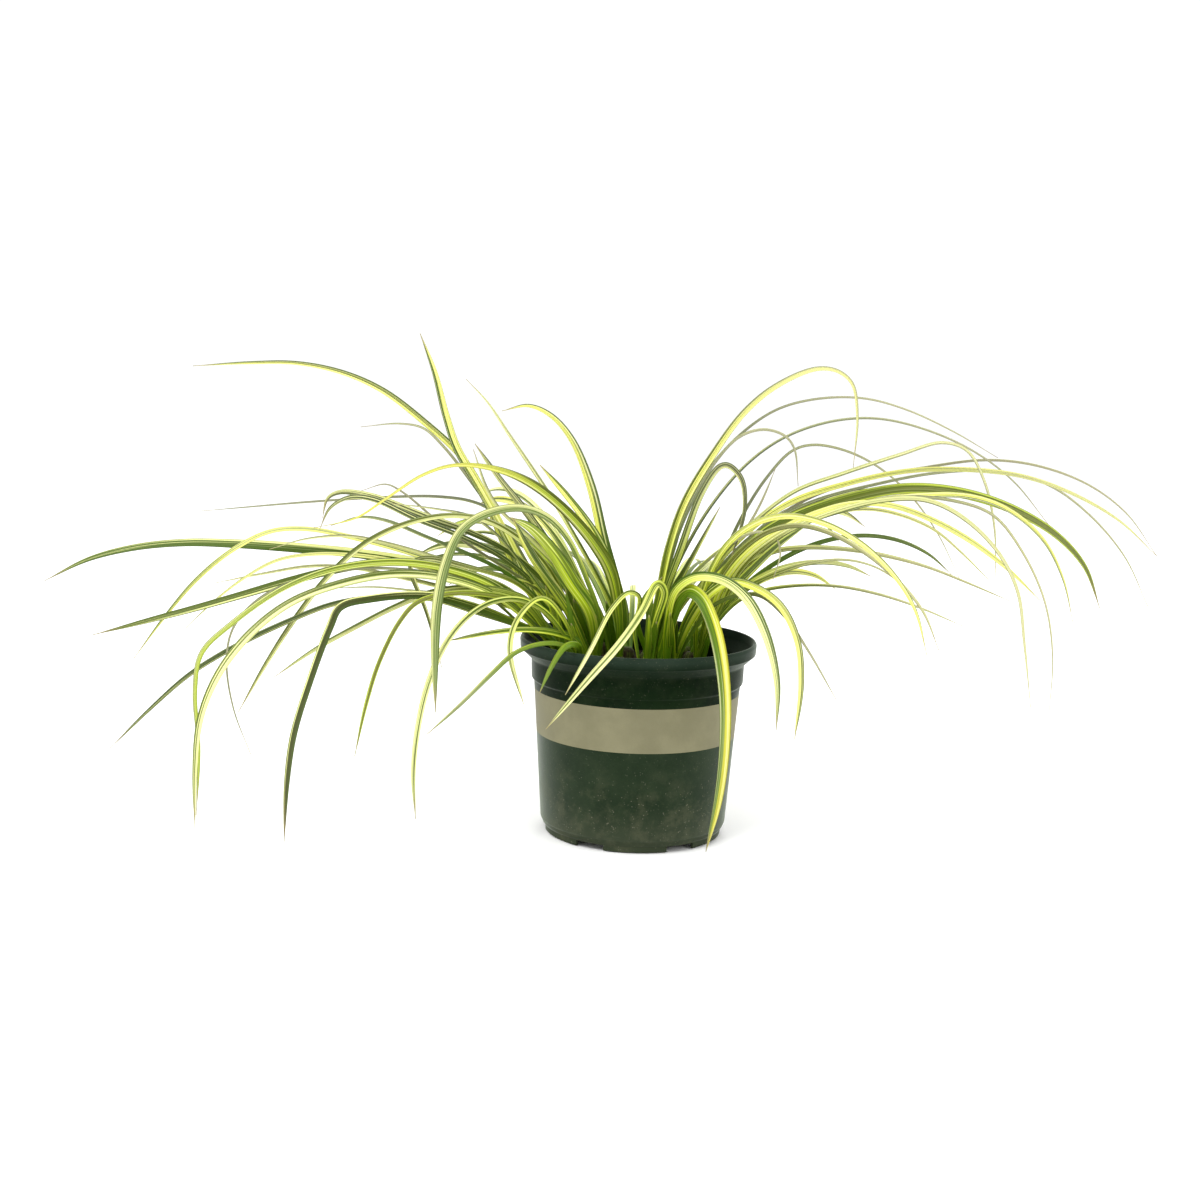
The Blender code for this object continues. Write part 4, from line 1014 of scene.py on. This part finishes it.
def plastic_color(n, place):
    """Mottled deep green plastic: nearly black above the band, where painted shade and less dust darken it;
    a painted highlight along the rim; dusty and speckled towards the foot.
    """
    height = n.split(place)[2]
    clouds = n.noise(place, 38.0, 5.0, 0.65)
    grain = n.noise(place, 900.0, 3.0, 0.7)
    mottle = n.step(clouds, 0.32, 0.70)
    # Painted shade: above the band the plastic is darkened as if in the leaves' shadow, and it holds less
    # dust there.
    is_lower = n.step(height, 0.108, 0.072)
    color = n.mix(is_lower, n.mix(mottle, *UPPER_GREENS_IN_PAINTED_SHADE), n.mix(mottle, *LOWER_GREENS))
    # Painted shade over the flare and the lip, a touch lighter than the collar below.
    color = n.tint(color, LIP_IN_PAINTED_SHADE, n.step(height, 0.1195, 0.1275), 0.75)
    # Painted highlight: the upper edge of the rim's front is lightened as if it caught the light.
    color = n.tint(color, RIM_PAINTED_HIGHLIGHT, n.step(height, 0.1285, 0.1345), 0.70)
    low = n.step(height, 0.066, 0.004)
    dust = n.step(n.noise(place, 70.0, 6.0, 0.7), 0.44, 0.66)
    haze = n.times(n.math("MULTIPLY_ADD", low, 0.34, 0.04), dust)
    color = n.mix(haze, color, DUST)
    sparse = n.step(n.noise(place, 300.0, 2.0), 0.50, 0.64)
    specks = n.times(n.step(n.cells(place, 620.0), 0.30, 0.16), sparse)
    color = n.tint(color, SPECKLE, specks, n.math("MULTIPLY_ADD", low, 0.50, 0.16))
    color = n.tint(color, FOOT_DUST, n.step(height, 0.035, 0.004), 0.42)
    scuffs = n.noise(n.stretch(place, (70.0, 70.0, 900.0)), detail=4.0)
    color = n.tint(color, SCUFF, n.step(scuffs, 0.66, 0.78), 0.10)
    color = n.tint(color, GRAIN_LIGHT, n.step(grain, 0.55, 0.8), 0.08)
    return color, clouds, grain, haze


def pot_material(name, sheen):
    n = Nodes(name)
    color, clouds, grain, haze = plastic_color(n, n.place())
    roughness = n.total(n.step(clouds, 0.3, 0.7, 0.40, 0.52), n.times(haze, 0.6))
    normal = n.bump(grain, 0.25, 0.0002, n.bump(clouds, 0.25, 0.0008))
    return n.finish(
        color, roughness, normal, Specular_IOR_Level=0.03,
        Sheen_Weight=sheen[0], Sheen_Roughness=sheen[1], Sheen_Tint=SHEEN_TINT,
    )


def band_material():
    """The plain printed band: flat beige ink, a little worn."""
    n = Nodes("plain beige band")
    place = n.place()
    clouds = n.noise(place, 45.0, 4.0)
    grain = n.noise(place, 900.0, 3.0, 0.7)
    color = n.mix(n.step(clouds, 0.30, 0.70), *BAND_INKS)
    worn = n.noise(n.stretch(place, (260.0, 260.0, 420.0)), 1.0, 5.0, 0.7)
    color = n.tint(color, BAND_WORN, n.step(worn, 0.66, 0.76), 0.35)
    color = n.tint(color, BAND_GRAIN, n.step(grain, 0.5, 0.75), 0.14)
    roughness = n.step(clouds, 0.3, 0.7, 0.46, 0.58)
    return n.finish(color, roughness, n.bump(grain, 0.25, 0.0002), Specular_IOR_Level=0.12)


def soil_material(name, browns):
    """Damp potting mix: dark fibres with brown grains, or bark chips when the browns are lighter."""
    n = Nodes(name)
    place = n.place()
    lumps = n.noise(place, 260.0, 6.0, 0.7)
    grains = n.cells(place, 700.0)
    color = n.mix(n.step(lumps, 0.35, 0.68), *browns)
    color = n.mix(n.step(grains, 0.45, 0.15, 0.0, 0.4), color, GRAIN_BROWN)
    normal = n.bump(lumps, 0.9, 0.0015, n.bump(grains, 0.6, 0.0008))
    return n.finish(color, n.step(lumps, 0.3, 0.7, 0.75, 0.95), normal, Specular_IOR_Level=0.12)


def wall_radius(height):
    """The pot's outer wall below the collar: a straight taper."""
    share = (height - WALL_FOOT_HEIGHT) / (COLLAR_BOTTOM - WALL_FOOT_HEIGHT)
    return WALL_FOOT_RADIUS + (WALL_TOP_RADIUS - WALL_FOOT_RADIUS) * share


def rounded(points, radius, steps=4):
    """The same outline with every corner between its ends cut to a small arc."""
    done = [points[0]]
    for before, corner, after in zip(points, points[1:], points[2:]):
        corner = Vector(corner)
        back, ahead = Vector(before) - corner, Vector(after) - corner
        reach = min(radius, 0.4 * back.length, 0.4 * ahead.length)
        start = corner + back.normalized() * reach
        end = corner + ahead.normalized() * reach
        for k in range(steps + 1):
            t = k / steps
            done.append(tuple((1 - t) ** 2 * start + 2 * t * (1 - t) * corner + t * t * end))
    return done + [points[-1]]


def pot_profile():
    """The pot's section, from the middle of its inner floor over the rim to the middle underneath."""
    skirt = POT_HEIGHT - RIM_SKIRT
    flare = skirt - FLARE_HEIGHT
    t = WALL_THICKNESS
    floor = FLOOR_RAISE + FLOOR_THICKNESS
    inside = [
        (0.0, floor), (WALL_FOOT_RADIUS - 0.0045, floor), (wall_radius(FOOT_BEND) - t, 0.0095),
        (WALL_TOP_RADIUS - t, COLLAR_BOTTOM + 0.0006), (COLLAR_RADIUS - 0.0004 - t, COLLAR_BOTTOM + 0.0022),
        (COLLAR_RADIUS - t, flare + 0.0006), (RIM_RADIUS - 0.0020 - t, skirt + 0.0006),
        (RIM_RADIUS - 0.0012 - t, skirt + 0.0020),
    ]
    lip = [
        (RIM_RADIUS - 0.0010 - t, POT_HEIGHT - 0.0010), (RIM_RADIUS - 0.0021, POT_HEIGHT),
        (RIM_RADIUS - 0.0010, POT_HEIGHT), (RIM_RADIUS, POT_HEIGHT - 0.0016),
        (RIM_RADIUS - 0.0004, skirt), (RIM_RADIUS - 0.0016, skirt - 0.0009),
        (COLLAR_RADIUS + 0.0006, flare), (COLLAR_RADIUS, flare - 0.0012),
    ]
    wall = [
        (COLLAR_RADIUS - 0.0004, COLLAR_BOTTOM + 0.0008), (WALL_TOP_RADIUS, COLLAR_BOTTOM - 0.0006),
    ]
    upper = rounded(inside + lip + wall + [(wall_radius(BAND_TOP), BAND_TOP)], CORNER_RADIUS)
    foot = rounded([
        (wall_radius(BAND_BOTTOM), BAND_BOTTOM), (wall_radius(FOOT_BEND), FOOT_BEND),
        (WALL_FOOT_RADIUS - 0.0012, 0.0055), (FOOT_RADIUS, FLOOR_RAISE), (FOOT_RADIUS - 0.0004, 0.0),
        (FOOT_RADIUS - FOOT_WIDTH, 0.0), (FOOT_RADIUS - FOOT_WIDTH, FLOOR_RAISE), (0.0, FLOOR_RAISE),
    ], FOOT_CORNER_RADIUS)
    return upper + foot


def finished_mesh(name, work):
    """A mesh with what the working mesh holds, which is freed."""
    mesh = bpy.data.meshes.new(name)
    work.to_mesh(mesh)
    work.free()
    return mesh


def notch_cutter(name, place, turn):
    work = bmesh.new()
    bmesh.ops.create_cube(work, size=1.0)
    bmesh.ops.scale(work, verts=work.verts, vec=NOTCH_SIZE)
    bmesh.ops.rotate(work, verts=work.verts, matrix=Matrix.Rotation(turn, 3, "Z"))
    bmesh.ops.translate(work, verts=work.verts, vec=place)
    return finished_mesh(name, work)


def drain_cutter(name, place):
    low, high = DRAIN_CUT
    work = bmesh.new()
    bmesh.ops.create_cone(
        work, cap_ends=True, segments=DRAIN_SIDES, radius1=DRAIN_RADIUS, radius2=DRAIN_RADIUS,
        depth=high - low,
    )
    bmesh.ops.translate(work, verts=work.verts, vec=(place[0], place[1], (low + high) / 2))
    return finished_mesh(name, work)


def build_pot():
    """The pot: its profile turned round, with notches and drain holes cut and the band a material."""
    profile = pot_profile()
    mesh = bpy.data.meshes.new("pot_outline")
    mesh.from_pydata([(r, 0.0, z) for r, z in profile], [(i, i + 1) for i in range(len(profile) - 1)], [])
    pot = add_object("pot_outline", mesh)
    screw = pot.modifiers.new("turn", "SCREW")
    screw.steps = screw.render_steps = POT_SIDES
    screw.use_merge_vertices = True
    screw.merge_threshold = 0.00005
    cutters = bpy.data.collections.new("pot_cutters")
    meshes = [drain_cutter("drain_middle", (0.0, 0.0))]
    for k in range(NOTCH_COUNT):
        angle = NOTCH_TURN + k * 2 * math.pi / NOTCH_COUNT
        out = Vector((math.sin(angle), -math.cos(angle), 0.0))
        meshes.append(notch_cutter(f"notch_{k}", out * (FOOT_RADIUS - FOOT_WIDTH / 2), angle))
        meshes.append(drain_cutter(f"drain_{k}", out * DRAIN_RING))
    for cutter in meshes:
        cutters.objects.link(bpy.data.objects.new(cutter.name, cutter))
    modifier = pot.modifiers.new("notches and drains", "BOOLEAN")
    modifier.operation = "DIFFERENCE"
    modifier.operand_type = "COLLECTION"
    modifier.collection = cutters
    modifier.solver = "EXACT"
    bpy.context.view_layer.update()
    graph = bpy.context.evaluated_depsgraph_get()
    done = bpy.data.meshes.new_from_object(pot.evaluated_get(graph))
    for obj in [pot, *cutters.objects]:
        bpy.data.objects.remove(obj)
    bpy.data.collections.remove(cutters)
    done.name = "pot"
    done.transform(Matrix.Translation((AXIS_X, AXIS_Y, 0.0)))
    done.materials.clear()
    done.materials.append(pot_material("nursery pot collar", COLLAR_SHEEN))
    done.materials.append(band_material())
    done.materials.append(pot_material("nursery pot wall", WALL_SHEEN))
    for face in done.polygons:
        middle = face.center
        reach = math.hypot(middle.x - AXIS_X, middle.y - AXIS_Y)
        outer = reach > wall_radius(middle.z) - WALL_THICKNESS / 2
        if outer and middle.z < BAND_TOP:
            face.material_index = 1 if middle.z > BAND_BOTTOM else 2
    done.shade_smooth()
    done.set_sharp_from_angle(angle=math.radians(40))
    obj = add_object("pot", done)
    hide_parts("nursery_pot")
    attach(obj, "root")


def soil_height(x, y, reach):
    """The soil's surface, as a height above SOIL_TOP, x and y from the pot's axis."""
    lumps = noise.fractal(Vector((x * 75, y * 75, 2.0)), 0.8, 2.1, 5)
    crumbs = noise.fractal(Vector((x * 330, y * 330, 7.0)), 0.8, 2.1, 3)
    edge = min(1.0, (1.0 - reach) / 0.06)
    return (SOIL_MOUND * (1 - reach ** 2) + SOIL_LUMPS * lumps + SOIL_CRUMBS * crumbs) * edge


def bark_chip(draw, place, size):
    """One flat, angular chip of bark: its corners are pulled about at random."""
    work = bmesh.new()
    bmesh.ops.create_icosphere(work, subdivisions=1, radius=0.5)
    for vert in work.verts:
        vert.co *= 1.0 + draw.uniform(-0.25, 0.25)
    stretch = Vector((size, size * draw.uniform(0.35, 0.7), size * draw.uniform(0.18, 0.35)))
    bmesh.ops.scale(work, verts=work.verts, vec=stretch)
    heading = Matrix.Rotation(draw.uniform(0, 2 * math.pi), 3, "Z")
    tilt = Matrix.Rotation(draw.uniform(-0.5, 0.5), 3, "X")
    bmesh.ops.rotate(work, verts=work.verts, matrix=heading @ tilt)
    bmesh.ops.translate(work, verts=work.verts, vec=place)
    points = [tuple(vert.co) for vert in work.verts]
    faces = [tuple(vert.index for vert in face.verts) for face in work.faces]
    work.free()
    return points, faces


def build_soil():
    """The soil: a lumpy top over a plain body that fills the pot, with bark chips lying on it."""
    t = WALL_THICKNESS + SEAT_GAP
    floor = FLOOR_RAISE + FLOOR_THICKNESS + SEAT_GAP
    top_radius = COLLAR_RADIUS - t - 0.0003
    rings = [(top_radius * k / SOIL_RINGS, SOIL_TOP) for k in range(1, SOIL_RINGS + 1)]
    lower = [
        (WALL_TOP_RADIUS - t, COLLAR_BOTTOM + 0.0002), (wall_radius(0.06) - t, 0.06),
        (wall_radius(0.0105) - t - 0.0004, 0.0105), (WALL_FOOT_RADIUS - 0.0055, floor),
    ]
    sectors = range(SOIL_SECTORS)
    points = [(0.0, 0.0, SOIL_TOP + soil_height(0.0, 0.0, 0.0))]
    for row, (radius, height) in enumerate(rings + lower):
        for k in sectors:
            angle = 2 * math.pi * k / SOIL_SECTORS
            x, y = radius * math.cos(angle), radius * math.sin(angle)
            lift = soil_height(x, y, radius / top_radius) if row < len(rings) else 0.0
            points.append((x, y, height + lift))
    points.append((0.0, 0.0, floor))
    faces = [(0, 1 + k, 1 + (k + 1) % SOIL_SECTORS) for k in sectors]
    last = 1 + (len(rings + lower) - 1) * SOIL_SECTORS
    for a in range(1, last, SOIL_SECTORS):
        b = a + SOIL_SECTORS
        faces += [(a + k, b + k, b + (k + 1) % SOIL_SECTORS, a + (k + 1) % SOIL_SECTORS) for k in sectors]
    faces += [(last + k, len(points) - 1, last + (k + 1) % SOIL_SECTORS) for k in sectors]
    soil_faces = len(faces)
    draw = np.random.default_rng(SEED + 20)
    for _ in range(BARK_COUNT):
        reach = math.sqrt(draw.uniform(0, BARK_EDGE))
        angle = draw.uniform(0, 2 * math.pi)
        x, y = top_radius * reach * math.cos(angle), top_radius * reach * math.sin(angle)
        place = Vector((x, y, SOIL_TOP + soil_height(x, y, reach) + 0.0001))
        chip, sides = bark_chip(draw, place, draw.uniform(*BARK_SIZE) * (1.15 - 0.5 * reach))
        faces += [tuple(v + len(points) for v in side) for side in sides]
        points += chip
    place = np.array(points) + np.array([AXIS_X, AXIS_Y, 0.0])
    mix = soil_material("damp potting mix", MIX_BROWNS)
    bark = soil_material("bark chips", BARK_BROWNS)
    obj = mesh_object("soil", place, faces, (mix, bark))
    use_second(obj.data, soil_faces)
    obj.data.shade_smooth()
    obj.data.set_sharp_from_angle(angle=math.radians(50))
    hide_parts("potting_soil")
    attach(obj, "root")


def build_stage():
    """A plain white floor, soft light from all round and three large soft lamps."""
    r, down = FLOOR_REACH, -FLOOR_DROP
    corners = [(-r, -r, down), (r, -r, down), (r, r, down), (-r, r, down)]
    white = Nodes("white floor").finish((0.97, 0.97, 0.97, 1.0), 0.9, Specular_IOR_Level=0.1)
    floor = mesh_object("floor", corners, [(0, 1, 2, 3)], (white,))
    world = bpy.data.worlds.new("white studio")
    world.use_nodes = True
    background = world.node_tree.nodes["Background"]
    background.inputs["Color"].default_value = (1.0, 1.0, 1.0, 1.0)
    background.inputs["Strength"].default_value = WORLD_LIGHT
    bpy.context.scene.world = world
    aim = Vector((AXIS_X, AXIS_Y, LAMP_AIM_HEIGHT))
    for name, place, size, power in LAMPS:
        light = bpy.data.lights.new(name, "AREA")
        light.shape = "SQUARE"
        light.size = size
        light.energy = power
        lamp = add_object(name, light)
        lamp.location = place
        lamp.rotation_euler = (aim - Vector(place)).to_track_quat("-Z", "Y").to_euler()
    bpy.context.scene.view_settings.view_transform = "Standard"


def build_camera():
    """The photograph's view: from a little above the leaves, turned and rolled by a degree or two."""
    pitch, yaw, roll = CAMERA_PITCH, CAMERA_YAW, CAMERA_ROLL
    ahead = Vector((math.sin(yaw) * math.cos(pitch), math.cos(yaw) * math.cos(pitch), -math.sin(pitch)))
    level = Vector((math.cos(yaw), -math.sin(yaw), 0.0))
    up = level.cross(ahead)
    right = level * math.cos(roll) + up * math.sin(roll)
    top = up * math.cos(roll) - level * math.sin(roll)
    data = bpy.data.cameras.new("camera")
    data.lens = LENS_LENGTH
    data.sensor_width = SENSOR_WIDTH
    camera = add_object("camera", data)
    turn = Matrix((right, top, -ahead)).transposed().to_4x4()
    eye = (AXIS_X, AXIS_Y - EYE_DISTANCE * MM, EYE_HEIGHT * MM)
    camera.matrix_world = Matrix.Translation(eye) @ turn
    bpy.context.scene.camera = camera


def main():
    build_camera()
    build_stage()
    build_pot()
    build_soil()
    leaves = plan_leaves()
    settle(leaves)
    materials = (leaf_material(), crown_material())
    crowns = {name: fan[0] for name, fan in {**FANS, **BACK_FANS}.items()}
    for number, (fan, crown) in enumerate(crowns.items()):
        own = [leaf for leaf in leaves if leaf["fan"] == fan]
        draw = np.random.default_rng(SEED * 100 + number)
        build_leaves(fan.replace("leaf_fan", "leaves"), fan, crown, own, materials, draw)


main()
